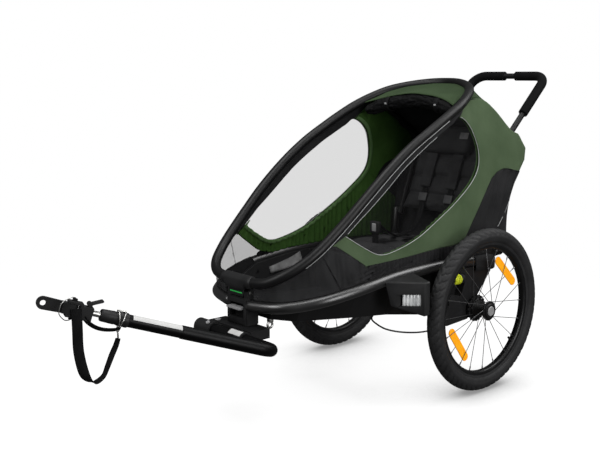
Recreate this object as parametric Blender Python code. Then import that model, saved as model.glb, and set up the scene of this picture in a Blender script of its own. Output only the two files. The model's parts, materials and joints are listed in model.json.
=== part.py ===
"""Single-seat child bicycle trailer: folding frame, two sprung wheels, side tow arm and push handle.

Units are metres. +Z is up, the front faces -Y and +X is the trailer's left. Shapes are written
with Y = 0 on the wheel axle, and one empty moves them so that the origin is under the middle.
"""

import math

import bmesh
import bpy
from mathutils import Matrix, Vector

# Fits
GAP = 0.0003
RUNNING_GAP = 0.0006

# Wheels
WHEEL_DIAMETER = 0.500
TYRE_SECTION = 0.047
TRACK = 0.6432
WHEEL_INSET = 0.0716
RIM_WALL = 0.0137
RIM_WIDTH = 0.025
WHEEL_SEGMENTS = 48
HUB_BORE = 0.0068
HUB_BARREL = 0.017
HUB_FLANGE = 0.030
FLANGE_WALL = 0.005
FLANGE_INNER_X = -0.022
FLANGE_OUTER_X = 0.020
HUB_INNER_END = -0.0335
HUB_OUTER_END = 0.0274
CAP_RADIUS = 0.015
CAP_PROUD = 0.0294
CAP_THICKNESS = 0.0055
CAP_TRAVEL = 0.003
CAP_ROUNDING = 0.0015
SPOKES_PER_FLANGE = 10
SPOKE_RADIUS = 0.0011
SPOKE_LEAN = math.radians(34)
BRAKE_RING_RADIUS = 0.042
BRAKE_RING_WIDTH = 0.007
BRAKE_TEETH = 20
BRAKE_TOOTH = 0.004
REFLECTOR_RADIUS = 0.147
REFLECTOR_SIZE = (0.0042, 0.134, 0.026)
REFLECTOR_ANGLES = {"upper": math.radians(46), "lower": math.radians(217)}

# Suspension
BRACKET_X = TRACK / 2 - WHEEL_INSET - 0.008
BRACKET_WALL = 0.016
BRACKET_FOOT_Z = 0.260
BRACKET_TOP_Y = (-0.140, 0.0, 0.090)
BRACKET_FOOT = ((0.115, 0.348), (0.036, BRACKET_FOOT_Z), (-0.075, BRACKET_FOOT_Z), (-0.132, 0.292))
ARM_WALL = 0.0255
ARM_PIVOT = (-0.100, 0.285)
ARM_EYE_RADIUS = 0.020
ARM_BELLY = ((-0.030, 0.219), (-0.128, 0.213), (-0.142, 0.232))
PRESS_FACE_Y = -0.048
PRESS_Z = 0.347
CRANK_DEPTH = 0.030
STOP_FACE_Y = -0.095
STOP_WALL = 0.010
ELASTOMER_RADIUS = 0.0155
ELASTOMER_RIBS = 5
ELASTOMER_WAIST = 0.84

# Lower frame, driven by the points of its left half from the front block to the rear middle
TUBE_RADIUS = 0.016
TUBE_SIDES = 10
TUBE_FLAT = TUBE_RADIUS * math.cos(math.pi / TUBE_SIDES)
TUBE_SIDE_X = TRACK / 2 - WHEEL_INSET
BLOCK_HALF_WIDTH = 0.045
LOWER_TUBE = (
    (0.136, -0.663, 0.330),
    (0.181, -0.618, 0.337),
    (0.225, -0.555, 0.352),
    (TUBE_SIDE_X, -0.450, 0.371),
    (TUBE_SIDE_X, -0.300, 0.388),
    (TUBE_SIDE_X, -0.100, 0.392),
    (TUBE_SIDE_X, 0.050, 0.385),
    (0.238, 0.125, 0.380),
    (0.200, 0.160, 0.378),
    (0.100, 0.165, 0.378),
    (0.000, 0.165, 0.378),
)
TUBE_END = (-0.685, 0.325)
POST_X = 0.200
POST_RADIUS = 0.010

# Front block and the fold hinge on it
BLOCK_FRONT_Y = -0.700
BLOCK_REAR_Y = -0.655
BLOCK_BOTTOM_Z = 0.265
BLOCK_TOP_Z = 0.345
FOLD_AXIS = (-0.685, 0.358)
EAR_RADIUS = 0.011
EAR_WALL = 0.015
PIN_RADIUS = 0.004
LEVER_AXIS = (BLOCK_FRONT_Y + 0.010, 0.314)
LEVER_HALF_WIDTH = 0.028
LEVER_THICKNESS = 0.008
LEVER_REACH = 0.024
POCKET_MARGIN = 0.003
POCKET_HEIGHT = 0.042
POCKET_DEPTH = 0.020

# Hoop, driven by the points of its left half from the bottom to the top middle
HOOP_RADIUS = 0.0145
HOOP_BOTTOM = (-0.690, 0.391)
HOOP = (
    (0.060, *HOOP_BOTTOM),
    (0.110, -0.683, 0.398),
    (0.147, -0.660, 0.417),
    (0.176, -0.620, 0.444),
    (0.1965, -0.570, 0.4825),
    (0.2115, -0.500, 0.5425),
    (0.2220, -0.420, 0.613),
    (0.2255, -0.330, 0.685),
    (0.2255, -0.240, 0.746),
    (0.2250, -0.150, 0.794),
    (0.2220, -0.070, 0.834),
    (0.2150, -0.010, 0.862),
    (0.1960, 0.046, 0.887),
    (0.1700, 0.092, 0.906),
    (0.1350, 0.130, 0.918),
    (0.0900, 0.160, 0.9265),
    (0.0450, 0.180, 0.931),
    (0.0000, 0.187, 0.932),
)
HOOP_SIDE = HOOP[3:13]
HOOP_ARCH = HOOP[13:]
ARCH_CENTRE = (0.0, 0.030, 0.880)
COLLAR_HALF_WIDTH = 0.042
COLLAR_MARGIN = 0.0065
RAIL_X = 0.195
RAIL_RADIUS = 0.009
RAIL_FRONT = (0.046, 0.885)

# Handlebar
HANDLE_PIVOT = (0.300, 0.725)
HANDLE_BAR = (0.538, 0.952)
HANDLE_HALF_WIDTH = 0.150
HANDLE_BAR_HALF_WIDTH = 0.150
HANDLE_BEND = 0.045
HANDLE_RADIUS = 0.0098
HANDLE_DISC_RADIUS = 0.022
HANDLE_DISC_HALF_WALL = 0.0105
HOUSING_RADIUS = 0.020
GRIP_RADIUS = 0.016
GRIP_INNER_END_X = 0.023
GRIP_LENGTH = 0.290

# Cabin
TUB_WALL = 0.004
TUB = (
    # y, half width and height of the rim, half width and height of the floor
    (-0.650, 0.100, 0.335, 0.085, 0.287),
    (-0.600, 0.165, 0.338, 0.140, 0.282),
    (-0.450, None, 0.371, 0.190, 0.276),
    (-0.300, None, 0.388, 0.200, 0.262),
    (-0.150, None, 0.3915, 0.200, 0.236),
    (0.050, None, 0.385, 0.200, 0.236),
    (0.110, 0.200, 0.382, 0.180, 0.260),
)
BENCH_FRONT_Y = -0.215
BENCH_WALL = 0.006
CUSHION_FRONT_Y = -0.205
CUSHION_REAR_Y = 0.105
CUSHION_HALF_WIDTH = 0.165
CUSHION_THICKNESS = 0.036
REAR_PIVOT = (0.170, 0.485)
STRUT_TOP = (0.250, 0.700)
STRUT_RADIUS = 0.010
STRUT_BEND = 0.030
BACK_LENGTH = 0.255
BACK_HALF_WIDTH = 0.160
BACK_THICKNESS = 0.030
CHANNELS = 3
CHANNEL_DEPTH = 0.005

# Fabric
FABRIC = 0.003
PANEL_COLUMNS = 12
SIDE_X = 0.2455
SIDE_REACH = 0.12
ROOF = (
    # edge y and z, then how much further back and up the middle stands
    (0.152, 0.848, 0.085, 0.022),
    (0.218, 0.787, 0.055, 0.012),
    (0.257, 0.770, 0.020, 0.002),
)
SIDE_TOP = (0.105, 0.880)
ROOF_TONGUE = ((0.272, 0.764), (0.298, 0.735), (0.298, 0.684))
TONGUE_HALF_WIDTH = 0.125
VISOR_HALF_WIDTH = 0.188
VISOR_EDGE = ((-0.005, 0.866), (0.030, 0.898))
REAR_CORNER = ((0.267, 0.759), (0.295, 0.723), (0.290, 0.685))
REAR = ((0.272, 0.665), (0.264, 0.650), (0.230, 0.591), (0.212, 0.544), (0.199, 0.471), (0.193, 0.414))
SIDE_FOOT = (0.120, 0.000, -0.150, -0.300, -0.420, -0.520)
WINDOW = (
    (-0.488, 0.520),
    (-0.433, 0.485),
    (-0.363, 0.462),
    (-0.297, 0.455),
    (-0.206, 0.488),
    (-0.122, 0.538),
    (-0.007, 0.608),
    (0.073, 0.664),
    (0.072, 0.713),
    (0.044, 0.762),
    (-0.017, 0.826),
    (-0.167, 0.750),
    (-0.288, 0.673),
    (-0.403, 0.592),
)
COVER_RADIUS = 0.024
COVER_HALF_LENGTH = 0.150

# Fender boxes with the front reflectors
FENDER_INNER_X = TUBE_SIDE_X + TUBE_RADIUS + 3 * GAP
FENDER_OUTER_X = TUBE_SIDE_X + 0.085
FENDER_REAR_Y = -(WHEEL_DIAMETER / 2 + 0.015)
FENDER_FRONT_INNER_Y = FENDER_REAR_Y - 0.121
FENDER_FRONT_OUTER_Y = FENDER_REAR_Y - 0.023
FENDER_RAKE = 0.027
FENDER_LIFT = 0.0065
FENDER_OUTER_Z = (0.279, 0.378)
FENDER_INNER_BOTTOM_Z = 0.310
FRONT_REFLECTOR_SIZE = (0.046, 0.005, 0.034)
FRONT_REFLECTOR_CENTRE = (TUBE_SIDE_X + 0.054, 0.327)
REFLECTOR_SEAT_Y = FENDER_REAR_Y - 0.016

# Brake
CABLE_RADIUS = 0.0025
CABLE = (
    (0.195, -0.360, 0.2650),
    (0.197, -0.352, 0.250),
    (0.210, -0.315, 0.224),
    (0.230, -0.260, 0.208),
    (0.247, -0.190, 0.200),
    (0.252, -0.125, 0.204),
    (0.251, -0.075, 0.224),
    (0.250, -0.050, 0.246),
    (0.250, -0.050, 0.2597),
)
PEDAL_HALF_WIDTH = 0.030
PEDAL_WALL = 0.0055
PEDAL_REACH = 0.085
PEDAL_PLATE = 0.008
PEDAL_SLOPE = math.radians(-20)

# Tow arm: its short leg turns in the receiver, its long leg runs forward to the hitch eye
ARM_AXIS = (-0.740, 0.245)
ARM_TUBE_RADIUS = 0.0170
ARM_ELBOW_X = 0.252
ARM_BEND = 0.052
EYE_CENTRE = Vector((0.060, -1.305, 0.438))
ARM_INNER_END_X = -0.100
KNUCKLE_OUTER_X = -0.120
KNUCKLE_INNER_X = -0.050
KNUCKLE_RADIUS = 0.023
SADDLE_X = (0.060, 0.092)
SADDLE_RADIUS = 0.0225
BASE_X = (-0.060, 0.092)
BASE_BOTTOM_Z = 0.236

# Hitch, as distances back from the eye along the arm
EYE_RADIUS = 0.0155
EYE_HOLE_RADIUS = 0.007
EYE_WALL = 0.008
TAIL_START = 0.045
TAIL_HALF_WIDTH = 0.012
HITCH_PIN = 0.070
KNUCKLE_START = 0.055
KNUCKLE_FACE = 0.085
KNUCKLE_END = 0.117
KNUCKLE_HALF = 0.0135
CHEEK = 0.006
CHEEK_HALF_WIDTH = 0.013
SHAFT_END = 0.1367
SHAFT_RADIUS = 0.007
SOCKET_START = 0.137
SOCKET_END = 0.205
SOCKET_RADII = (0.0150, 0.0180)
FRONT_TUBE_END = 0.342
FRONT_TUBE_RADIUS = 0.0155
PIN_HEAD_RADIUS = 0.0065
PIN_HEAD = 0.006
WIRE_RADIUS = 0.0013
PIN_TOP = KNUCKLE_HALF + CHEEK + GAP
KEEPER_HEAD = PIN_TOP + PIN_HEAD + WIRE_RADIUS + GAP
KEEPER_SIDE = 0.024
KEEPER_REACH = 0.034
WING_BARREL = 0.006
WING_AXIS = (0.106, KNUCKLE_HALF + WING_BARREL + GAP)
WING_TIP = (0.133, 0.033)
WING_HALF_WIDTH = 0.010
HOOK_STATION = 0.193
HOOK_DROP = 0.042

# Safety strap, from the hitch pin's knuckle down and back up to the snap hook
STRAP_WIDTH = 0.025
STRAP_THICKNESS = 0.002
STRAP = (
    (0.0971, -1.2415, 0.4200),
    (0.0971, -1.2413, 0.3960),
    (0.0972, -1.2406, 0.3690),
    (0.0960, -1.2385, 0.3200),
    (0.0985, -1.2320, 0.2760),
    (0.1020, -1.2230, 0.2500),
    (0.1075, -1.2065, 0.2365),
    (0.1140, -1.1870, 0.2480),
    (0.1170, -1.1765, 0.2700),
    (0.1180, -1.1640, 0.2970),
    (0.1168, -1.1510, 0.3190),
    (0.1150, -1.1437, 0.3345),
)
STRAP_TWIST = (0, 0, 0, 0, 10, 35, 65, 80, 70, 55, 40, 30)

AXLE_Z = WHEEL_DIAMETER / 2
WHEEL_X = TRACK / 2
TYRE_MAJOR = (WHEEL_DIAMETER - TYRE_SECTION) / 2
RIM_OUTER = TYRE_MAJOR - TYRE_SECTION / 2 - GAP
RIM_INNER = RIM_OUTER - RIM_WALL
TO_EYE = (EYE_CENTRE - Vector((ARM_ELBOW_X, *ARM_AXIS))).normalized()
BACK_ALONG = -TO_EYE
ARM_SIDE = Vector((BACK_ALONG.y, -BACK_ALONG.x, 0)).normalized()
ARM_UP = ARM_SIDE.cross(BACK_ALONG)
ARM_INNER_X = BRACKET_X + BRACKET_WALL + RUNNING_GAP
HANDS = (("left", 1), ("right", -1))


def along_arm(back, up=0.0, side=0.0):
    """A point given by its distance back from the hitch eye, above the arm's axis and to its left."""
    return EYE_CENTRE + BACK_ALONG * back + ARM_UP * up + ARM_SIDE * side


FRONT_REACH = EYE_CENTRE.y - EYE_RADIUS * math.sqrt(1 - ARM_SIDE.y**2) + EYE_WALL / 2 * ARM_SIDE.y
REAR_REACH = HANDLE_BAR[0] + GRIP_RADIUS

# Bodies: parent and the point on the joint's axis that is their origin
BODIES = {
    "chassis": (None, Vector((0, 0, 0))),
    "upper_frame": ("chassis", Vector((0, *FOLD_AXIS))),
    "rear_frame": ("chassis", Vector((0, *REAR_PIVOT))),
    "handlebar": ("upper_frame", Vector((0, *HANDLE_PIVOT))),
    "tow_arm": ("chassis", Vector((0, *ARM_AXIS))),
    "hitch_swivel": ("tow_arm", along_arm(KNUCKLE_END)),
    "hitch_eye": ("hitch_swivel", along_arm(HITCH_PIN)),
    "keeper_ring": ("hitch_swivel", along_arm(HITCH_PIN, KEEPER_HEAD)),
    "wing_lever": ("hitch_swivel", along_arm(*WING_AXIS)),
    "release_lever": ("chassis", Vector((0, *LEVER_AXIS))),
    "brake_pedal": ("chassis", Vector(LOWER_TUBE[-1])),
}
for hand, sign in HANDS:
    BODIES["suspension_" + hand] = ("chassis", Vector((sign * BRACKET_X, *ARM_PIVOT)))
    BODIES["wheel_" + hand] = ("suspension_" + hand, Vector((sign * WHEEL_X, 0, AXLE_Z)))
    BODIES["cap_" + hand] = ("wheel_" + hand, Vector((sign * WHEEL_X, 0, AXLE_Z)))


# Scene and objects
def clear_scene():
    for obj in list(bpy.data.objects):
        bpy.data.objects.remove(obj, do_unlink=True)


def make_axes():
    """One empty per body on its joint's axis, under one empty that centres the whole."""
    root = bpy.data.objects.new("trailer", None)
    bpy.context.collection.objects.link(root)
    root.location = (0, -(FRONT_REACH + REAR_REACH) / 2, 0)
    axes = {None: root}
    for name, (parent, point) in BODIES.items():
        empty = bpy.data.objects.new("axis_" + name, None)
        bpy.context.collection.objects.link(empty)
        empty.parent = axes[parent]
        empty.location = point - (BODIES[parent][1] if parent else Vector())
        axes[name] = empty
    return axes


def make_material(name, colour, roughness, metallic=0.0):
    material = bpy.data.materials.new(name)
    material.use_nodes = True
    shader = material.node_tree.nodes["Principled BSDF"]
    shader.inputs["Base Color"].default_value = (*colour, 1)
    shader.inputs["Roughness"].default_value = roughness
    shader.inputs["Metallic"].default_value = metallic
    return material


def make_object(name, shape, body, sign=1):
    """An object from a bmesh written in trailer coordinates; sign -1 mirrors it to the right."""
    if sign < 0:
        bmesh.ops.scale(shape, vec=(-1, 1, 1), verts=shape.verts)
    bmesh.ops.recalc_face_normals(shape, faces=shape.faces)
    mesh = bpy.data.meshes.new(name)
    shape.to_mesh(mesh)
    shape.free()
    mesh.transform(Matrix.Translation(-BODIES[body][1]))
    obj = bpy.data.objects.new(name, mesh)
    bpy.context.collection.objects.link(obj)
    obj.parent = AXES[body]
    return obj


def add_part(name, shape, body, material, sign=1, sharp=40):
    part = make_object(name, shape, body, sign)
    part.data.materials.append(material)
    part.data.shade_smooth()
    part.data.set_sharp_from_angle(angle=math.radians(sharp))
    return part


def combine(part, operation, shapes, body, sign=1):
    """Joins shapes to a part, or cuts them out of it, with a Boolean each."""
    for index, shape in enumerate(shapes):
        tool = make_object(f"{part.name}_{operation.lower()}_{index}", shape, body, sign)
        tool.hide_render = True
        tool.display_type = "WIRE"
        boolean = part.modifiers.new(tool.name, "BOOLEAN")
        boolean.operation = operation
        boolean.solver = "EXACT"
        boolean.object = tool


# Curves
def smooth_curve(points, steps):
    """Points along a Catmull-Rom curve through the given points, with steps to each span."""
    points = [Vector(point) for point in points]
    padded = [2 * points[0] - points[1], *points, 2 * points[-1] - points[-2]]
    curve = []
    for before, start, end, after in zip(padded, padded[1:], padded[2:], padded[3:]):
        for step in range(steps):
            t = step / steps
            curve.append(
                0.5
                * (
                    2 * start
                    + (end - before) * t
                    + (2 * before - 5 * start + 4 * end - after) * t**2
                    + (3 * start - before - 3 * end + after) * t**3
                )
            )
    return [*curve, points[-1]]


def rounded_path(corners, radius, steps=6):
    """Straight runs between corners, with an arc of one radius at each inner corner."""
    corners = [Vector(corner) for corner in corners]
    path = [corners[0]]
    for before, corner, after in zip(corners, corners[1:], corners[2:]):
        to_before = (before - corner).normalized()
        to_after = (after - corner).normalized()
        half = to_before.angle(to_after) / 2
        middle = corner + (to_before + to_after).normalized() * radius / math.sin(half)
        start = corner + to_before * radius / math.tan(half)
        end = corner + to_after * radius / math.tan(half)
        for step in range(steps + 1):
            path.append(middle + radius * (start - middle).slerp(end - middle, step / steps))
    return [*path, corners[-1]]


def mirrored_path(half):
    """A whole path from its left half, which ends on the middle plane."""
    half = [Vector(point) for point in half]
    return half + [Vector((-point.x, point.y, point.z)) for point in reversed(half[:-1])]


def part_of_path(path, start, end):
    """The stretch of a path between two distances along it."""
    stretch = []
    travelled = 0.0
    for first, second in zip(path, path[1:]):
        length = (second - first).length
        for limit in (start, end):
            if travelled <= limit < travelled + length:
                stretch.append(first.lerp(second, (limit - travelled) / length))
        travelled += length
        if start < travelled < end:
            stretch.append(second)
    return stretch


def arc_points(centre, radius, first, last, steps):
    """Points of an arc in a plane, with angles in degrees."""
    angles = [math.radians(first + (last - first) * step / steps) for step in range(steps + 1)]
    return [(centre[0] + radius * math.cos(a), centre[1] + radius * math.sin(a)) for a in angles]


def capsule_outline(start, end, radius, steps=8):
    """A bar with round ends between two points of a plane."""
    turn = math.degrees(math.atan2(end[1] - start[1], end[0] - start[0]))
    return arc_points(end, radius, turn - 90, turn + 90, steps) + arc_points(
        start, radius, turn + 90, turn + 270, steps
    )


# Shapes
def tube(path, radius, sides=12, bore=0.0, shape=None):
    """A round bar, or a pipe if bore is given, along a path; radius may be one value per point."""
    shape = shape or bmesh.new()
    path = [Vector(point) for point in path]
    radii = radius if isinstance(radius, (list, tuple)) else [radius] * len(path)
    tangents = [
        (path[min(i + 1, len(path) - 1)] - path[max(i - 1, 0)]).normalized() for i in range(len(path))
    ]
    across = tangents[0].orthogonal().normalized()
    outer, inner = [], []
    for index, (point, tangent) in enumerate(zip(path, tangents)):
        if index:
            across = tangents[index - 1].rotation_difference(tangent) @ across
        other = tangent.cross(across)
        turns = [2 * math.pi * (side + 0.5) / sides for side in range(sides)]
        rays = [across * math.cos(turn) + other * math.sin(turn) for turn in turns]
        outer.append([shape.verts.new(point + ray * radii[index]) for ray in rays])
        if bore:
            inner.append([shape.verts.new(point + ray * bore) for ray in rays])
    join_rings(shape, outer)
    if bore:
        join_rings(shape, [outer[0], inner[0]])
        join_rings(shape, inner)
        join_rings(shape, [outer[-1], inner[-1]])
    else:
        shape.faces.new(outer[0])
        shape.faces.new(outer[-1])
    return shape


def join_rings(shape, rings):
    for first, second in zip(rings, rings[1:]):
        for index in range(len(first)):
            following = (index + 1) % len(first)
            shape.faces.new((first[index], first[following], second[following], second[index]))


def turned(profile, start, axis, segments):
    """A closed profile of (distance along the axis, radius) points, turned round the axis."""
    shape = bmesh.new()
    axis = Vector(axis).normalized()
    across = Vector((0, 0, -1)) if abs(axis.z) < 0.9 else Vector((1, 0, 0))
    across = (across - axis * across.dot(axis)).normalized()
    other = axis.cross(across)
    rings = []
    for segment in range(segments):
        turn = 2 * math.pi * segment / segments
        ray = across * math.cos(turn) + other * math.sin(turn)
        ring = [Vector(start) + axis * along + ray * radius for along, radius in profile]
        rings.append([shape.verts.new(point) for point in ring])
    join_rings(shape, [*rings, rings[0]])
    return shape


def rod(start, end, radius, segments=16):
    """A plain cylinder between two points."""
    return tube([start, end], radius, segments)


def prism(outline, axis, low, high):
    """A flat outline pushed along X, Y or Z; its points are the other two coordinates in order."""
    shape = bmesh.new()
    rings = []
    for level in (low, high):
        ring = []
        for first, second in outline:
            point = [first, second]
            point.insert("XYZ".index(axis), level)
            ring.append(shape.verts.new(point))
        rings.append(ring)
    join_rings(shape, rings)
    for ring in rings:
        shape.faces.new(ring)
    return shape


def box(low, high, edge=0.0):
    outline = ((low[1], low[2]), (high[1], low[2]), (high[1], high[2]), (low[1], high[2]))
    shape = prism(outline, "X", low[0], high[0])
    if edge:
        bmesh.ops.bevel(shape, geom=shape.edges[:], offset=edge, segments=2, affect="EDGES")
    return shape


def oriented(shape, origin, first, second, third):
    """Moves a shape written in a local frame to that frame's place."""
    frame = Matrix((first, second, third)).transposed().to_4x4()
    bmesh.ops.transform(shape, matrix=Matrix.Translation(origin) @ frame, verts=shape.verts)
    return shape


def on_arm(shape):
    """Places a shape whose X, Y and Z are the arm's back, up and side."""
    return oriented(shape, EYE_CENTRE, BACK_ALONG, ARM_UP, ARM_SIDE)


def loft(sections):
    """A solid through closed sections of equal point count."""
    shape = bmesh.new()
    rings = [[shape.verts.new(point) for point in section] for section in sections]
    join_rings(shape, rings)
    shape.faces.new(rings[0])
    shape.faces.new(rings[-1])
    return shape


def thin_sheet(grid, normals):
    """A closed sheet of fabric over a grid of points, FABRIC thick towards its normals."""
    shape = bmesh.new()
    outer = [[shape.verts.new(point) for point in row] for row in grid]
    inner = [
        [shape.verts.new(point - normal * FABRIC) for point in row] for row, normal in zip(grid, normals)
    ]
    for layer in (outer, inner):
        for first, second in zip(layer, layer[1:]):
            for i in range(len(first) - 1):
                shape.faces.new((first[i], first[i + 1], second[i + 1], second[i]))
    for edge in (0, -1):
        for i in range(len(outer[0]) - 1):
            shape.faces.new((outer[edge][i], outer[edge][i + 1], inner[edge][i + 1], inner[edge][i]))
        for j in range(len(outer) - 1):
            shape.faces.new((outer[j][edge], outer[j + 1][edge], inner[j + 1][edge], inner[j][edge]))
    return shape


def pad(half_width, length, thickness, rows=18, columns=14):
    """A sewn pad on the XY plane: crowned, drawn in along its sides, with channels across it."""
    shape = bmesh.new()
    layers = []
    for level in (0, 1):
        grid = []
        for row in range(rows + 1):
            v = row / rows
            line = []
            for column in range(columns + 1):
                u = 2 * column / columns - 1
                edge = (1 - u**4) * (1 - (2 * v - 1) ** 6)
                draw_in = 1 - 0.03 * math.sin(math.pi * v)
                channel = CHANNEL_DEPTH * max(0.0, math.cos(2 * math.pi * (CHANNELS + 1) * v)) ** 4
                seam = channel * edge if 0 < v < 1 else 0.0
                height = thickness * (0.45 + 0.55 * edge) - seam if level else 0.0
                line.append(shape.verts.new((u * half_width * draw_in, v * length, height)))
            grid.append(line)
        layers.append(grid)
    for grid in layers:
        for first, second in zip(grid, grid[1:]):
            for i in range(columns):
                shape.faces.new((first[i], first[i + 1], second[i + 1], second[i]))
    rims = [
        grid[0][:-1] + [row[-1] for row in grid[:-1]] + grid[-1][:0:-1] + [row[0] for row in grid[:0:-1]]
        for grid in layers
    ]
    join_rings(shape, rims)
    return shape


# Lower frame and front block
def lower_tube_path():
    end = Vector((BLOCK_HALF_WIDTH + GAP, *TUBE_END))
    half = smooth_curve((end + Vector((TUBE_RADIUS, 0, 0)), *LOWER_TUBE), 3)
    return mirrored_path([end, *half])


def tube_height(y):
    """Height of the lower tube's middle at a place along its side."""
    side = [point for point in LOWER_TUBE if point[0] > POST_X]
    for front, rear in zip(side, side[1:]):
        if front[1] <= y <= rear[1]:
            return front[2] + (rear[2] - front[2]) * (y - front[1]) / (rear[1] - front[1])
    return side[0][2] if y < side[0][1] else side[-1][2]


def build_lower_frame():
    loop = tube(lower_tube_path(), TUBE_RADIUS, TUBE_SIDES)
    frame = add_part("lower_frame_tube", loop, "chassis", GLOSS_BLACK)
    post_y, post_z = LOWER_TUBE[-3][1:]
    posts = [
        tube(
            [(sign * POST_X, post_y, post_z), (sign * POST_X, REAR_PIVOT[0], REAR_PIVOT[1] + POST_RADIUS)],
            POST_RADIUS,
            10,
        )
        for _, sign in HANDS
    ]
    combine(frame, "UNION", posts, "chassis")


def hinge_tab(low_z, radius):
    """Outline of a round-ended tab about the fold axis, down to a height or up to it."""
    y, z = FOLD_AXIS
    if low_z < z:
        return [(y + radius, low_z)] + arc_points(FOLD_AXIS, radius, 0, 180, 8) + [(y - radius, low_z)]
    return [(y - radius, low_z)] + arc_points(FOLD_AXIS, radius, 180, 360, 8) + [(y + radius, low_z)]


def fold_bore():
    reach = 2 * BLOCK_HALF_WIDTH
    return rod((-reach, *FOLD_AXIS), (reach, *FOLD_AXIS), PIN_RADIUS + GAP)


def build_front_block():
    low = (-BLOCK_HALF_WIDTH, BLOCK_FRONT_Y, BLOCK_BOTTOM_Z)
    high = (BLOCK_HALF_WIDTH, BLOCK_REAR_Y, BLOCK_TOP_Z)
    block = add_part("front_block", box(low, high, 0.003), "chassis", MATTE_BLACK)
    root = BLOCK_TOP_Z - EAR_WALL / 2
    ear = hinge_tab(root, EAR_RADIUS)
    ear_sides = (-BLOCK_HALF_WIDTH, BLOCK_HALF_WIDTH - EAR_WALL)
    ears = [prism(ear, "X", side, side + EAR_WALL) for side in ear_sides]
    combine(block, "UNION", ears, "chassis")
    pocket_half = LEVER_HALF_WIDTH + POCKET_MARGIN
    pocket_top = LEVER_AXIS[1] + LEVER_THICKNESS + 2 * POCKET_MARGIN
    pocket = box(
        (-pocket_half, BLOCK_FRONT_Y - POCKET_DEPTH, pocket_top - POCKET_HEIGHT),
        (pocket_half, BLOCK_FRONT_Y + POCKET_DEPTH, pocket_top),
    )
    combine(block, "DIFFERENCE", [fold_bore(), pocket], "chassis")
    pin = rod((-BLOCK_HALF_WIDTH, *FOLD_AXIS), (BLOCK_HALF_WIDTH, *FOLD_AXIS), PIN_RADIUS)
    add_part("fold_pin", pin, "chassis", STEEL)
    build_release_lever(pocket_half)


def build_release_lever(pocket_half):
    """A lift lever whose pivot stubs reach the walls of its pocket."""
    y, z = LEVER_AXIS
    half = LEVER_THICKNESS / 2
    outline = [(y, z + half), (y - LEVER_REACH, z + half), (y - LEVER_REACH, z - half / 4), (y, z - half)]
    lever = add_part(
        "release_lever", prism(outline, "X", -LEVER_HALF_WIDTH, LEVER_HALF_WIDTH), "release_lever", PALE_GREY
    )
    reach = pocket_half - GAP
    combine(lever, "UNION", [rod((-reach, y, z), (reach, y, z), half * 0.9)], "release_lever")


# Upper frame
def hoop_path():
    start = Vector((GAP, *HOOP_BOTTOM))
    half = smooth_curve(((COLLAR_HALF_WIDTH + HOOP_RADIUS / 2, *HOOP_BOTTOM), *HOOP), 2)
    return mirrored_path([start, *half])


def hoop_at(y):
    """Point of the left side of the hoop at a place along the trailer."""
    side = [Vector(point) for point in HOOP_SIDE]
    for front, rear in zip(side, side[1:]):
        if front.y <= y <= rear.y:
            return front.lerp(rear, (y - front.y) / (rear.y - front.y))
    return side[0] if y < side[0].y else side[-1]


def build_hoop():
    hoop = add_part("hoop_frame", tube(hoop_path(), HOOP_RADIUS, 10), "upper_frame", SATIN_BLACK)
    shapes = []
    for _, sign in HANDS:
        shapes.append(rod((sign * RAIL_X, *RAIL_FRONT), (sign * RAIL_X, *HANDLE_PIVOT), RAIL_RADIUS, 10))
        inner = HANDLE_HALF_WIDTH + HANDLE_DISC_HALF_WALL + RUNNING_GAP
        outer = RAIL_X + RAIL_RADIUS
        shapes.append(rod((sign * inner, *HANDLE_PIVOT), (sign * outer, *HANDLE_PIVOT), HOUSING_RADIUS))
    combine(hoop, "UNION", shapes, "upper_frame")


def build_hoop_clamp():
    """The collar on the hoop's bottom, with the lug that swings on the fold pin."""
    half = HOOP_RADIUS + COLLAR_MARGIN
    y, z = HOOP_BOTTOM
    low = (-COLLAR_HALF_WIDTH, y - half, z - half)
    high = (COLLAR_HALF_WIDTH, y + half, z + half)
    clamp = add_part("hoop_clamp", box(low, high, 0.005), "upper_frame", MATTE_BLACK)
    lug_half = BLOCK_HALF_WIDTH - EAR_WALL - GAP
    lug = prism(hinge_tab(z - HOOP_RADIUS, EAR_RADIUS), "X", -lug_half, lug_half)
    combine(clamp, "UNION", [lug], "upper_frame")
    reach = 2 * COLLAR_HALF_WIDTH
    bore = rod((-reach, y, z), (reach, y, z), HOOP_RADIUS + GAP)
    combine(clamp, "DIFFERENCE", [bore, fold_bore()], "upper_frame")


def handle_path():
    side = (HANDLE_HALF_WIDTH, *HANDLE_PIVOT)
    corner = (HANDLE_BAR_HALF_WIDTH, *HANDLE_BAR)
    mirrored = [(-x, y, z) for x, y, z in (corner, side)]
    return rounded_path((side, corner, *mirrored), HANDLE_BEND)


def build_handlebar():
    path = handle_path()
    bar = add_part("handlebar_tube", tube(path, HANDLE_RADIUS, 12), "handlebar", SATIN_BLACK)
    discs = []
    for _, sign in HANDS:
        ends = [
            (sign * (HANDLE_HALF_WIDTH + step * HANDLE_DISC_HALF_WALL), *HANDLE_PIVOT) for step in (-1, 1)
        ]
        discs.append(rod(*ends, HANDLE_DISC_RADIUS))
    combine(bar, "UNION", discs, "handlebar")
    length = sum((second - first).length for first, second in zip(path, path[1:]))
    inner_end = length / 2 - GRIP_INNER_END_X
    grip_path = part_of_path(path, inner_end - GRIP_LENGTH, inner_end)
    for hand, sign in HANDS:
        grip = tube(grip_path, GRIP_RADIUS, 12, HANDLE_RADIUS + GAP)
        add_part("grip_" + hand, grip, "handlebar", FOAM, sign)


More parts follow.
